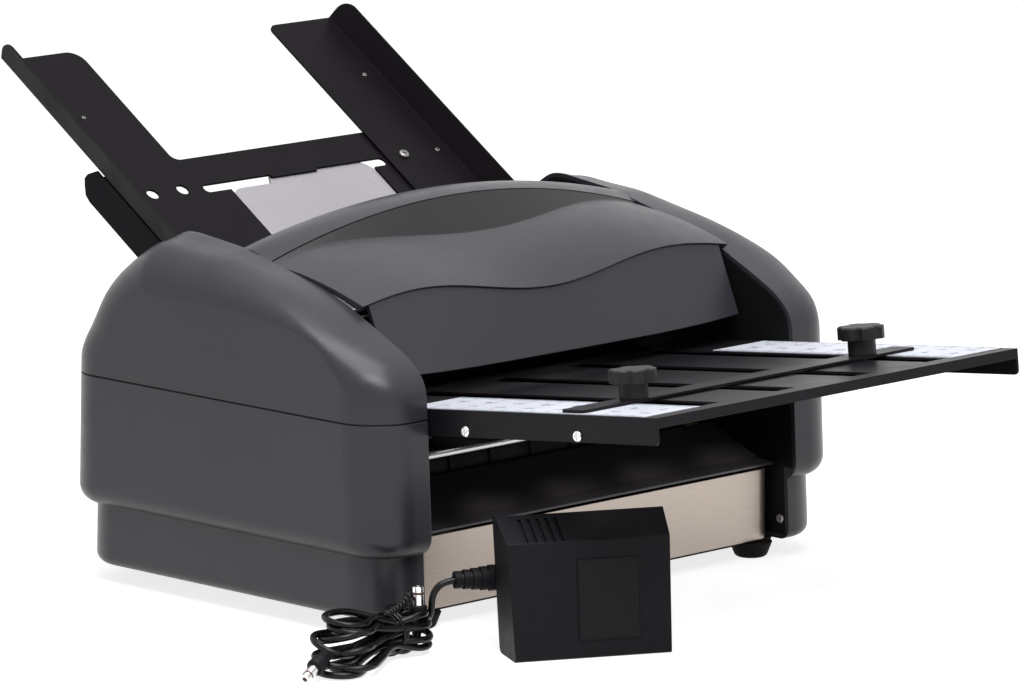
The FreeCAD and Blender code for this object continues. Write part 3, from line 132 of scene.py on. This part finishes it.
def fold_points(loop, enter, leave, outward):
    """Control points of one U-turn: along the loop's side, round its end and back."""
    centre, across, up, tilt, radius = loop
    tilt = math.radians(tilt)
    av, aw = math.cos(tilt), math.sin(tilt)
    side = 1 if (enter[0] - leave[0]) * av + (enter[1] - leave[1]) * aw > 0 else -1
    corner = radius / math.cos(math.radians(FOLD_ANGLES[1]))
    run = radius * (LEFT_RUN if outward < 0 else RIGHT_RUN)
    slope = math.radians(FOLD_SLOPE)
    flat = [(math.cos(math.radians(angle)) * corner, math.sin(math.radians(angle)) * corner)
            for angle in FOLD_ANGLES]
    back, in_by = run * math.cos(slope), run * math.sin(slope)
    flat.insert(0, (flat[0][0] - back, flat[0][1] - in_by))
    flat.append((flat[-1][0] - back, flat[-1][1] + in_by))
    return [(centre + outward * along, across + av * reach * side,
             max(up + aw * reach * side, LOWEST_W)) for along, reach in flat]


def cord_points():
    """The cord's route, from inside the strain relief to the upright plug."""
    points = [mm(*point) for point in LEAD_FALL]
    points.append(hank_point(*LEAD_END))
    slots = iter(WAIST_SLOTS)
    enter = next(slots)
    for number, loop in enumerate(LEFT_LOOPS):
        points.append(hank_point(WAIST_U, *enter))
        leave = next(slots)
        points += [hank_point(*point) for point in fold_points(loop, enter, leave, -1)]
        points.append(hank_point(WAIST_U, *leave))
        if number < len(RIGHT_LOOPS):
            enter = next(slots)
            fold = fold_points(RIGHT_LOOPS[number], leave, enter, 1)
            points += [hank_point(*point) for point in fold]
    points += [hank_point(*point) for point in PLUG_RISE]
    return points


def curve_object(name, splines, diameter, cyclic=False):
    """Round tube along smooth splines; each point's radius is the tube's own, so the bevel is 1."""
    data = bpy.data.curves.new(name, "CURVE")
    data.dimensions = "3D"
    for points in splines:
        spline = data.splines.new("NURBS")
        spline.points.add(len(points) - 1)
        for place, point in zip(spline.points, points):
            place.co = (*point, 1)
            place.radius = diameter / 2 * MM
        spline.order_u = 3
        spline.use_endpoint_u = not cyclic
        spline.use_cyclic_u = cyclic
        spline.resolution_u = 8
    data.bevel_depth = 1.0
    data.bevel_resolution = 4
    data.use_fill_caps = True
    obj = bpy.data.objects.new(name, data)
    scene.collection.objects.link(obj)
    return obj


cord = curve_object("adapter_lead", [cord_points()], CORD_D)


# ------------------------------------------------------------------ mesh helpers

def mesh_object(name, bm, body, smooth=None):
    """Piece made of a bmesh, riding on a body; edges flatter than the angle are smooth."""
    mesh = bpy.data.meshes.new(name)
    bmesh.ops.remove_doubles(bm, verts=bm.verts, dist=1e-7)
    bmesh.ops.recalc_face_normals(bm, faces=bm.faces)
    bm.to_mesh(mesh)
    bm.free()
    if smooth:
        for polygon in mesh.polygons:
            polygon.use_smooth = True
        mesh.set_sharp_from_angle(angle=math.radians(smooth))
    obj = bpy.data.objects.new(name, mesh)
    scene.collection.objects.link(obj)
    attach(obj, body)
    return obj


LATHE_SIDES = 28


def lathe(bm, profile, place, material=0):
    """Turned solid from (distance along Z, radius) pairs, moved by a matrix."""
    rings = []
    for along, radius in profile:
        ring = []
        for i in range(LATHE_SIDES):
            a = 2 * math.pi * i / LATHE_SIDES
            ring.append(bm.verts.new(place @ mm(radius * math.cos(a), radius * math.sin(a), along)))
        rings.append(ring)
    faces = []
    for lower, upper in zip(rings, rings[1:]):
        for i in range(LATHE_SIDES):
            j = (i + 1) % LATHE_SIDES
            faces.append(bm.faces.new((lower[i], lower[j], upper[j], upper[i])))
    faces.append(bm.faces.new(rings[0][::-1]))
    faces.append(bm.faces.new(rings[-1]))
    for face in faces:
        face.material_index = material


def aimed(base, direction):
    """Matrix that puts a turned solid's foot at a point and its Z along a direction."""
    turn = direction.to_track_quat("Z", "Y").to_matrix().to_4x4()
    return Matrix.Translation(base) @ turn


# ------------------------------------------------------------------ plugs and tie of the cord

# Profiles of the metal barrel, with its bore, and of the insulating ring in its groove.
BARREL = [(0, 2.75), (5.2, 2.75), (5.4, 2.35), (6.4, 2.35), (6.6, 2.75), (9.2, 2.75), (9.5, 2.5),
          (9.5, 1.25), (3.0, 1.25)]
INSULATOR = [(5.3, 2.3), (5.3, 2.62), (6.5, 2.62), (6.5, 2.3)]
GRIP_LONG = 14.0
GRIP_RIBS = 3
RIB_PITCH = 1.9
# Where each grip starts and which way its plug points: the upright one, then the hank's left end.
ROOT_1 = mm(-163, -110, 10.5)
AIM_1 = Vector((0, 0.02, 1)).normalized()
ROOT_2 = mm(-232.2, -118.0, 12.6)
AIM_2 = Vector((-0.80, -0.22, -0.34)).normalized()


def barrel_plug(name, place):
    """Metal barrel with its insulating ring and bore."""
    bm = bmesh.new()
    lathe(bm, BARREL, place)
    lathe(bm, INSULATOR, place, material=1)
    return mesh_object(name, bm, "adapter", 35)


def grip(name, place):
    """Moulded grip: a ringed sleeve that widens to a rounded shoulder."""
    profile = [(0, 2.0), (0.4, 2.5)]
    for i in range(GRIP_RIBS):
        at = 1.0 + i * RIB_PITCH
        groove, ridge = 2.6 + i * 0.14, 3.1 + i * 0.2
        profile += [(at, groove), (at + 0.25, ridge), (at + 1.1, ridge), (at + 1.35, groove)]
    profile += [(1.4 + GRIP_RIBS * RIB_PITCH, 4.0), (GRIP_LONG - 1.2, 4.5), (GRIP_LONG - 0.3, 4.2),
                (GRIP_LONG, 3.4)]
    bm = bmesh.new()
    lathe(bm, profile, place)
    return mesh_object(name, bm, "adapter", 40)


grip_1 = grip("plug_grip_1", aimed(ROOT_1, AIM_1))
barrel_1 = barrel_plug("plug_barrel_1", aimed(ROOT_1 + AIM_1 * GRIP_LONG * MM, AIM_1))
grip_2 = grip("plug_grip_2", aimed(ROOT_2, AIM_2))
barrel_2 = barrel_plug("plug_barrel_2", aimed(ROOT_2 + AIM_2 * GRIP_LONG * MM, AIM_2))

# The tie's turns: their distance from TIE_U, their middle and reach across and up, and sway.
TIE_D = 2.2
TIE_TURNS = (-1.6, 1.4)
TIE_MIDDLE = (-0.6, 12.4)
TIE_REACH = (10.2, 10.9)
TIE_SWAY = 0.5
TIE_CORNERS = 14
# Its twisted ends, in the hank's frame.
TWIST_D = 1.9
TWIST_FROM = (TIE_U - 6, -3, 23.4)
TWIST_TO = (TIE_U + 15.5, -5.0, 29.5)
TWIST_RADIUS = 1.15
TWIST_SAG = 1.6
TWIST_STEPS = 32


def tie_wire():
    """Wire tie: two turns round the hank's waist, its ends twisted together."""
    splines = []
    for shift in TIE_TURNS:
        ring = []
        for i in range(TIE_CORNERS):
            a = 2 * math.pi * i / TIE_CORNERS
            ring.append(hank_point(TIE_U + shift + TIE_SWAY * math.sin(2 * a),
                                   TIE_MIDDLE[0] + TIE_REACH[0] * math.cos(a),
                                   TIE_MIDDLE[1] + TIE_REACH[1] * math.sin(a)))
        splines.append(ring)
    rings = curve_object("hank_tie", splines, TIE_D, cyclic=True)
    start, end = hank_point(*TWIST_FROM), hank_point(*TWIST_TO)
    axis = end - start
    across = axis.cross(Vector((0, 0, 1))).normalized()
    upward = across.cross(axis).normalized()
    strands = []
    for phase in (0, math.pi):
        strand = []
        for i in range(TWIST_STEPS + 1):
            a = phase + i * math.pi / 4
            sag = math.sin(math.pi * i / TWIST_STEPS) * TWIST_SAG * MM
            centre = start + axis * (i / TWIST_STEPS) - Vector((0, 0, sag))
            out = across * math.cos(a) + upward * math.sin(a)
            strand.append(centre + out * TWIST_RADIUS * MM)
        strands.append(strand)
    twist = curve_object("hank_tie_twist", strands, TWIST_D)
    return rings, twist


tie_rings, tie_twist = tie_wire()
for piece in (tie_rings, tie_twist):
    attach(piece, "adapter")
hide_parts("cord_plugs")
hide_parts("cord_plugs")
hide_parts("cord_plugs")
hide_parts("cord_plugs")
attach(cord, "adapter")
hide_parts("adapter_cord", "cord_hank")


# ------------------------------------------------------------------ ruler scales

# The deck of fold table 1: x across it, y from its front end towards the machine, z off it.
TABLE = Matrix.Translation(mm(0, -242.6, 131.7)) @ Matrix.Rotation(math.radians(-5.96), 4, "X")
RULER_TOP = 0.3
RULER_X = (91.0, 129.8)
INK_LIFT = 0.06
INK_MARGIN = 1.2
LINE_HALF = 0.2
SCALE_START = 12
SCALE_END = 174
CM_X = 105.0
CM_SIZE = 7.5
INCH_X = 118.0
INCH_SIZE = 5.0
INCH = 25.4


def flat_quad(bm, x0, x1, y0, y1, w):
    """Rectangle on the deck."""
    corners = ((x0, y0), (x1, y0), (x1, y1), (x0, y1))
    bm.faces.new([bm.verts.new(TABLE @ mm(x, y, w)) for x, y in corners])


def scale_numbers(bm, text, place, size):
    """Flat outlines of a number, added to a mesh."""
    data = bpy.data.curves.new("number", "FONT")
    data.body = text
    data.size = size * MM
    data.align_x = "CENTER"
    data.align_y = "CENTER"
    data.resolution_u = 2
    obj = bpy.data.objects.new("number", data)
    scene.collection.objects.link(obj)
    bpy.context.view_layer.update()
    mesh = bpy.data.meshes.new_from_object(obj)
    before = len(bm.verts)
    bm.from_mesh(mesh)
    bm.verts.ensure_lookup_table()
    for vert in bm.verts[before:]:
        vert.co = place @ vert.co
    bpy.data.objects.remove(obj)
    bpy.data.curves.remove(data)
    bpy.data.meshes.remove(mesh)


def ruler_marks():
    """Printed scales: a line along both edges, ticks every 2 mm, and numbers every 20 mm.

    The numbers are distances from the deck's end, in centimetres and in inches."""
    bm = bmesh.new()
    w = RULER_TOP + INK_LIFT
    for side in (-1, 1):
        inner, outer = side * (RULER_X[0] + INK_MARGIN), side * (RULER_X[1] - INK_MARGIN)
        for x in (inner, outer):
            flat_quad(bm, x - LINE_HALF, x + LINE_HALF, SCALE_START, SCALE_END, w)
        for y in range(SCALE_START, SCALE_END + 1, 2):
            long = 7.0 if y % 20 == 0 else 4.8 if y % 10 == 0 else 2.8
            wide = 0.42 if y % 10 == 0 else 0.3
            ends = sorted((inner, inner + side * long))
            flat_quad(bm, ends[0], ends[1], y - wide / 2, y + wide / 2, w)
            if y % 10 == 0:
                ends = sorted((outer, outer - side * long * 0.8))
                flat_quad(bm, ends[0], ends[1], y - wide / 2, y + wide / 2, w)
            if y % 20 == 0:
                turn = Matrix.Rotation(-side * math.pi / 2, 4, "Z")
                place = TABLE @ Matrix.Translation(mm(side * CM_X, y, w)) @ turn
                scale_numbers(bm, str(y // 10), place, CM_SIZE)
                place = TABLE @ Matrix.Translation(mm(side * INCH_X, y, w)) @ turn
                scale_numbers(bm, str(round(y / INCH, 1)), place, INCH_SIZE)
    return mesh_object("ruler_scale", bm, "fold_table_1")


scale_marks = ruler_marks()


# ------------------------------------------------------------------ adapter label frame

# The adapter's frame, x along its front, and the lean of the front, which draws in as it rises.
ADAPTER = Matrix.Translation(mm(-145.5, -160.5, 0)) @ Matrix.Rotation(math.radians(-28.2), 4, "Z")
ADAPTER_LEAN = Matrix.Rotation(-math.atan2(6.2, 58.4), 4, "X")
# Outline of the rim and its opening: two values along the front, two up it.
RIM_OUTER = (33.0, 65.2, 9.1, 49.4)
RIM_INNER = (33.9, 64.3, 10.0, 48.5)
RIM_RISE = 0.75
RIM_BEVEL = 0.12


def label_frame():
    """Raised rim round the adapter's blank label."""
    bm = bmesh.new()
    loops = []
    for depth in (0.0, -RIM_RISE):
        for x0, x1, z0, z1 in (RIM_OUTER, RIM_INNER):
            ring = [(x0, z0), (x1, z0), (x1, z1), (x0, z1)]
            loops.append([bm.verts.new(ADAPTER @ ADAPTER_LEAN @ mm(x, depth, z)) for x, z in ring])
    back_outer, back_inner, front_outer, front_inner = loops
    for a, b in ((back_outer, front_outer), (front_outer, front_inner), (front_inner, back_inner)):
        for i in range(4):
            j = (i + 1) % 4
            bm.faces.new((a[i], a[j], b[j], b[i]))
    bmesh.ops.bevel(bm, geom=bm.edges[:], offset=RIM_BEVEL * MM, segments=2, affect="EDGES")
    return mesh_object("adapter_label_rim", bm, "adapter", 40)


label_rim = label_frame()


# ------------------------------------------------------------------ separator spring

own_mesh(nodes["pad_spring"])


# ------------------------------------------------------------------ materials

# Scales of the noise: clouds and light specks in the tint, rubbing, and the grain of metal.
CLOUDS = 9.0
SPECKS = 420.0
RUBBING = 60.0
METAL_GRAIN = 120.0
GRAIN_SPREAD = 0.2


def new_material(name, color, rough, metallic=0.0, **sockets):
    """Principled material; returns it with its node tree, shader and object coordinates."""
    material = bpy.data.materials.new(name)
    material.use_nodes = True
    tree = material.node_tree
    shader = tree.nodes["Principled BSDF"]
    shader.inputs["Base Color"].default_value = (*color, 1)
    shader.inputs["Roughness"].default_value = rough
    shader.inputs["Metallic"].default_value = metallic
    for socket, value in sockets.items():
        shader.inputs[socket.replace("_", " ")].default_value = value
    coords = tree.nodes.new("ShaderNodeTexCoord").outputs["Object"]
    return material, tree, shader, coords


def noise(tree, coords, scale, detail=4.0, rough=0.55, stretch=None):
    """Noise between 0 and 1, finer along the axes that are stretched."""
    node = tree.nodes.new("ShaderNodeTexNoise")
    node.inputs["Scale"].default_value = scale
    node.inputs["Detail"].default_value = detail
    node.inputs["Roughness"].default_value = rough
    if stretch:
        mapping = tree.nodes.new("ShaderNodeMapping")
        mapping.inputs["Scale"].default_value = stretch
        tree.links.new(coords, mapping.inputs["Vector"])
        coords = mapping.outputs["Vector"]
    tree.links.new(coords, node.inputs["Vector"])
    return node.outputs["Fac"]


def ramp(tree, factor, *stops):
    """Colour ramp through (position, colour or grey value) stops."""
    node = tree.nodes.new("ShaderNodeValToRGB")
    elements = node.color_ramp.elements
    while len(elements) < len(stops):
        elements.new(0.5)
    for element, (position, value) in zip(elements, stops):
        element.position = position
        element.color = (*value, 1) if isinstance(value, tuple) else (value, value, value, 1)
    tree.links.new(factor, node.inputs["Fac"])
    return node.outputs["Color"]


def mix(tree, factor, a, b):
    """Colour a where the factor is 0, b where it is 1; both are colours or sockets."""
    node = tree.nodes.new("ShaderNodeMix")
    node.data_type = "RGBA"
    tree.links.new(factor, node.inputs[0])
    for socket, value in ((node.inputs[6], a), (node.inputs[7], b)):
        if isinstance(value, tuple):
            socket.default_value = (*value, 1)
        else:
            tree.links.new(value, socket)
    return node.outputs[2]


def math_node(tree, operation, a, b):
    """Result of one operation on two numbers or sockets."""
    node = tree.nodes.new("ShaderNodeMath")
    node.operation = operation
    for socket, value in zip(node.inputs, (a, b)):
        if isinstance(value, (int, float)):
            socket.default_value = value
        else:
            tree.links.new(value, socket)
    return node.outputs[0]


def edges(tree, radius):
    """Softened normal near edges, and a mask that is 1 on them."""
    bevel = tree.nodes.new("ShaderNodeBevel")
    bevel.samples = 4
    bevel.inputs["Radius"].default_value = radius
    geometry = tree.nodes.new("ShaderNodeNewGeometry")
    dot = tree.nodes.new("ShaderNodeVectorMath")
    dot.operation = "DOT_PRODUCT"
    tree.links.new(bevel.outputs["Normal"], dot.inputs[0])
    tree.links.new(geometry.outputs["Normal"], dot.inputs[1])
    return bevel.outputs["Normal"], ramp(tree, dot.outputs["Value"], (0.90, 1.0), (0.992, 0.0))


def bump(tree, shader, height, strength, distance, normal=None):
    """Relief on a shader, on top of a normal where one is given."""
    node = tree.nodes.new("ShaderNodeBump")
    node.inputs["Strength"].default_value = strength
    node.inputs["Distance"].default_value = distance
    tree.links.new(height, node.inputs["Height"])
    if normal:
        tree.links.new(normal, node.inputs["Normal"])
    tree.links.new(node.outputs["Normal"], shader.inputs["Normal"])


def shade(color, factor):
    """Colour made darker or lighter by a factor."""
    return tuple(min(1.0, c * factor) for c in color)


def moulded(name, color, rough, grain=900.0, depth=0.00004, wear=None, edge=0.0006, **sockets):
    """Moulded plastic or powder coat: fine grain, faint cloudiness, rubbed edges, uneven gloss."""
    material, tree, shader, coords = new_material(name, color, rough, **sockets)
    cloud = noise(tree, coords, CLOUDS, 3.0)
    tint = ramp(tree, cloud, (0.25, shade(color, 0.88)), (0.75, shade(color, 1.12)))
    speck = noise(tree, coords, SPECKS, 2.0)
    tint = mix(tree, ramp(tree, speck, (0.62, 0.0), (0.80, 0.35)), tint, shade(color, 1.7))
    rubbed = noise(tree, coords, RUBBING, 5.0, 0.7)
    normal = None
    if edge:
        normal, mask = edges(tree, edge)
        worn = math_node(tree, "MULTIPLY", mask, ramp(tree, rubbed, (0.38, 0.15), (0.66, 0.75)))
        tint = mix(tree, worn, tint, wear or shade(color, 2.2))
    tree.links.new(tint, shader.inputs["Base Color"])
    tree.links.new(ramp(tree, rubbed, (0.3, rough * 0.85), (0.7, min(1.0, rough * 1.15))),
                   shader.inputs["Roughness"])
    bump(tree, shader, noise(tree, coords, grain, 2.0), 0.5, depth, normal)
    return material


def inset(material, middle, sway, pitch, rear, color):
    """Painted shade: a darker colour over a moulding's recess, from a cosine line across it to a straight
    line behind it.
    """
    tree = material.node_tree
    shader = tree.nodes["Principled BSDF"]
    base = shader.inputs["Base Color"].links[0].from_socket
    coords = tree.nodes.new("ShaderNodeTexCoord").outputs["Object"]
    split = tree.nodes.new("ShaderNodeSeparateXYZ")
    tree.links.new(coords, split.inputs[0])
    wave = math_node(tree, "MULTIPLY", split.outputs["X"], math.pi / (pitch * MM))
    wave = math_node(tree, "COSINE", wave, 0.0)
    wave = math_node(tree, "MULTIPLY", wave, -sway * MM)
    line = math_node(tree, "ADD", wave, middle * MM)
    behind = math_node(tree, "SUBTRACT", split.outputs["Y"], line)
    before = math_node(tree, "SUBTRACT", rear * MM, split.outputs["Y"])
    inside = math_node(tree, "MULTIPLY", math_node(tree, "MINIMUM", behind, before), 1 / MM)
    mask = ramp(tree, inside, (0.0, 0.0), (0.6, 1.0))
    tree.links.new(mix(tree, mask, base, color), shader.inputs["Base Color"])


def brushed(name, color, rough, stretch, anisotropic=0.5):
    """Metal with a fine grain, which runs along the axis that is stretched least."""
    material, tree, shader, coords = new_material(name, color, rough, 1.0, Anisotropic=anisotropic)
    grain = noise(tree, coords, METAL_GRAIN, 5.0, 0.7, stretch)
    normal, mask = edges(tree, 0.0004)
    dark, light = shade(color, 1 - GRAIN_SPREAD), shade(color, 1 + GRAIN_SPREAD * 0.6)
    tint = ramp(tree, grain, (0.3, dark), (0.7, light))
    tint = mix(tree, math_node(tree, "MULTIPLY", mask, 0.4), tint, shade(color, 1.4))
    tree.links.new(tint, shader.inputs["Base Color"])
    tree.links.new(ramp(tree, grain, (0.3, rough * 0.8), (0.7, rough * 1.25)), shader.inputs["Roughness"])
    bump(tree, shader, grain, 0.3, 0.00003, normal)
    return material


CHARCOAL = (0.030, 0.0285, 0.036)
DULL = {"Specular_IOR_Level": 0.12}
casing = moulded("charcoal_plastic", CHARCOAL, 0.33, 700.0, 0.00005, Specular_IOR_Level=0.35)
hood_plastic = moulded("hood_plastic", CHARCOAL, 0.33, 700.0, 0.00005, Specular_IOR_Level=0.35)
# Painted shade: the hood's recess is darkened to 15% of the casing's colour, as if it lay in shadow.
inset(hood_plastic, middle=17.7, sway=9.7, pitch=132.5, rear=28.9, color=shade(CHARCOAL, 0.15))
coat = moulded("powder_coat", (0.0060, 0.0044, 0.0064), 0.42, 1100.0, 0.00005,
               Specular_IOR_Level=0.06)
deck_coat = moulded("deck_coat", (0.0080, 0.0070, 0.0092), 0.34, 1100.0, 0.00005, **DULL)
black_metal = moulded("black_paint", (0.007, 0.007, 0.0078), 0.42, **DULL)
black_plastic = moulded("black_plastic", (0.0085, 0.0076, 0.0098), 0.5, 600.0, 0.00006, **DULL)
knob_plastic = moulded("knob_plastic", (0.010, 0.0100, 0.0115), 0.45, 900.0, 0.00004,
                       Specular_IOR_Level=0.3)
# Painted reflection: the black exit chute's base colour is raised to a dark grey, which stands in for the
# light its gloss reflects.
gloss_black = moulded("gloss_black", (0.075, 0.066, 0.075), 0.22, 500.0, 0.00001,
                      Specular_IOR_Level=0.5)
rubber = moulded("rubber", (0.008, 0.008, 0.008), 0.75, 800.0, 0.00005, **DULL)
roller_rubber = moulded("roller_rubber", (0.012, 0.0115, 0.011), 0.7, 1400.0, 0.00005,
                        edge=0.0, Specular_IOR_Level=0.15)
pad_rubber = moulded("pad_rubber", (0.10, 0.03, 0.018), 0.8, 1400.0, 0.00006)
pale_plastic = moulded("pale_plastic", (0.32, 0.305, 0.33), 0.5, 900.0, 0.00002,
                       wear=(0.5, 0.5, 0.51))
ruler_white = moulded("ruler_white", (0.60, 0.62, 0.68), 0.4, 900.0, 0.00001,
                      wear=(0.4, 0.4, 0.42), Specular_IOR_Level=0.2)
label_black = moulded("label_foil", (0.011, 0.011, 0.013), 0.28, 300.0, 0.00001, edge=0.0, **DULL)
cord_sheath = moulded("cord_sheath", (0.005, 0.005, 0.0057), 0.26, 300.0, 0.00002,
                      edge=0.0, Specular_IOR_Level=0.22)
board_green = moulded("board_green", (0.012, 0.09, 0.035), 0.4)
belt_rubber = moulded("belt_rubber", (0.012, 0.012, 0.012), 0.7)
ring_brown = moulded("ring_brown", (0.12, 0.035, 0.02), 0.4, edge=0.0)
blue_ink = moulded("blue_ink", (0.07, 0.10, 0.20), 0.45, edge=0.0)
front_steel = brushed("brushed_front", (0.43, 0.37, 0.325), 0.34, (1, 40, 40), 0.6)
ground_steel = brushed("ground_steel", (0.58, 0.58, 0.57), 0.24, (1, 30, 30))
plated = brushed("plated_screw", (0.80, 0.80, 0.78), 0.16, (6, 6, 6), 0.0)
zinc = brushed("dull_zinc", (0.30, 0.29, 0.29), 0.38, (6, 6, 6), 0.0)
bronze = brushed("sintered_bronze", (0.45, 0.30, 0.13), 0.4, (6, 6, 6), 0.0)

# The nodes that each material dresses.
LOOKS = {
    casing: ["upper_casing", "left_lower_casing", "right_lower_casing", "rear_cover"],
    hood_plastic: ["front_hood"],
    coat: ["feed_tray", "tray_brackets", "right_guide", "table_2", "stop_2_slider"],
    deck_coat: ["table_1_top", "table_1_bottom", "stop_1_bar"],
    black_metal: [
        "left_side_frame", "right_side_frame", "base_pan", "upper_exit_guide", "pad_bridge",
        "table_rails", "stop_1_nuts"],
    gloss_black: ["exit_chute"],
    black_plastic: ["power_jack", "switch_frame", "power_rocker", "adapter_case", "strain_relief"],
    knob_plastic: ["stop_1_knob_left", "stop_1_knob_right"],
    rubber: ["rubber_feet", "feed_tyres"],
    roller_rubber: ["roller_%d_sleeve" % n for n in (1, 2, 3, 4)],
    ground_steel: ["roller_%d_shaft" % n for n in (1, 2, 3, 4)] + [
        "cross_rods", "feed_shaft", "motor_case", "motor_pulley", "pad_arm", "pad_spring",
        "adapter_prongs"],
    pad_rubber: ["separator_pads"],
    pale_plastic: ["support_plate"],
    ruler_white: ["rulers"],
    label_black: ["adapter_label"],
    board_green: ["circuit_board"],
    belt_rubber: ["drive_belt", "feed_belt"],
    front_steel: ["front_plate"],
    plated: ["table_1_screws"],
    zinc: ["small_screws", "guide_fasteners"],
    bronze: ["shaft_bushes"]}


def dress(obj, *materials):
    """Fill an object's material slots, which are made where it has none."""
    if not obj.material_slots:
        for material in materials:
            obj.data.materials.append(material)
    for slot, material in zip(obj.material_slots, materials * len(obj.material_slots)):
        slot.material = material


for look, names in LOOKS.items():
    for name in names:
        dress(nodes[name], look)
dress(cord, cord_sheath)
dress(barrel_1, plated, ring_brown)
dress(barrel_2, plated, ring_brown)
dress(scale_marks, blue_ink)
for piece in (grip_1, grip_2, label_rim):
    dress(piece, black_plastic)
for piece in (tie_rings, tie_twist):
    dress(piece, cord_sheath)


# ------------------------------------------------------------------ stage and light

FLOOR_HALF = 8.0
FLOOR_GREY = 0.52
FLOOR_GLOW = 0.8
# The room's grey, from the horizon to overhead: (height of the direction, grey).
ROOM = ((0.0, 0.15), (0.45, 0.25), (0.95, 0.5))
WHITE = (1.0, 1.0, 1.0)
# Each lamp's place, the point it faces, its two sides in metres and its watts.
LAMPS = {
    "key": ((-0.5, -0.78, 1.3), (-0.05, -0.05, 0.15), (0.7, 0.6), 14),
    "top": ((-0.1, -0.1, 1.7), (0, 0, 0.15), (1.1, 1.0), 18)}


def seen_directly(tree):
    """1 for rays that show the backdrop itself, 0 for the diffuse light it gives off."""
    path = tree.nodes.new("ShaderNodeLightPath")
    seen = math_node(tree, "MAXIMUM", path.outputs["Is Camera Ray"], path.outputs["Is Glossy Ray"])
    return math_node(tree, "MAXIMUM", seen, path.outputs["Is Transmission Ray"])


def make_stage():
    """Grey floor that glows where it is seen, so that it looks nearly white and keeps its shadows."""
    mesh = bpy.data.meshes.new("floor")
    corners = [(-FLOOR_HALF, -FLOOR_HALF, 0), (FLOOR_HALF, -FLOOR_HALF, 0),
               (FLOOR_HALF, FLOOR_HALF, 0), (-FLOOR_HALF, FLOOR_HALF, 0)]
    mesh.from_pydata(corners, [], [(0, 1, 2, 3)])
    floor = bpy.data.objects.new("floor", mesh)
    scene.collection.objects.link(floor)
    material, tree, shader, coords = new_material("floor_paper", (FLOOR_GREY,) * 3, 0.9,
                                                  Specular_IOR_Level=0.0)
    tint = ramp(tree, noise(tree, coords, 3.0), (0.2, 0.50), (0.8, 0.54))
    tree.links.new(tint, shader.inputs["Base Color"])
    bump(tree, shader, noise(tree, coords, 700.0), 0.1, 0.00002)
    glow = tree.nodes.new("ShaderNodeEmission")
    tree.links.new(math_node(tree, "MULTIPLY", seen_directly(tree), FLOOR_GLOW), glow.inputs["Strength"])
    added = tree.nodes.new("ShaderNodeAddShader")
    tree.links.new(shader.outputs[0], added.inputs[0])
    tree.links.new(glow.outputs[0], added.inputs[1])
    tree.links.new(added.outputs[0], tree.nodes["Material Output"].inputs["Surface"])
    dress(floor, material)


def area_light(name, location, target, size, power):
    """Soft rectangular lamp that faces a point."""
    data = bpy.data.lights.new(name, "AREA")
    data.shape = "RECTANGLE"
    data.size, data.size_y = size
    data.energy = power
    lamp = bpy.data.objects.new(name, data)
    lamp.matrix_world = aimed(location, Vector(location) - Vector(target))
    scene.collection.objects.link(lamp)


def make_light():
    """Room that lights the part with grey and is seen as white, and two soft lamps."""
    world = bpy.data.worlds.new("studio")
    scene.world = world
    world.use_nodes = True
    tree = world.node_tree
    background = tree.nodes["Background"]
    direction = tree.nodes.new("ShaderNodeTexCoord").outputs["Generated"]
    split = tree.nodes.new("ShaderNodeSeparateXYZ")
    tree.links.new(direction, split.inputs[0])
    room = ramp(tree, split.outputs["Z"], *ROOM)
    tree.links.new(mix(tree, seen_directly(tree), room, WHITE), background.inputs["Color"])
    background.inputs["Strength"].default_value = 1.0
    for name, settings in LAMPS.items():
        area_light(name, *settings)


make_stage()
make_light()

bpy.context.view_layer.update()
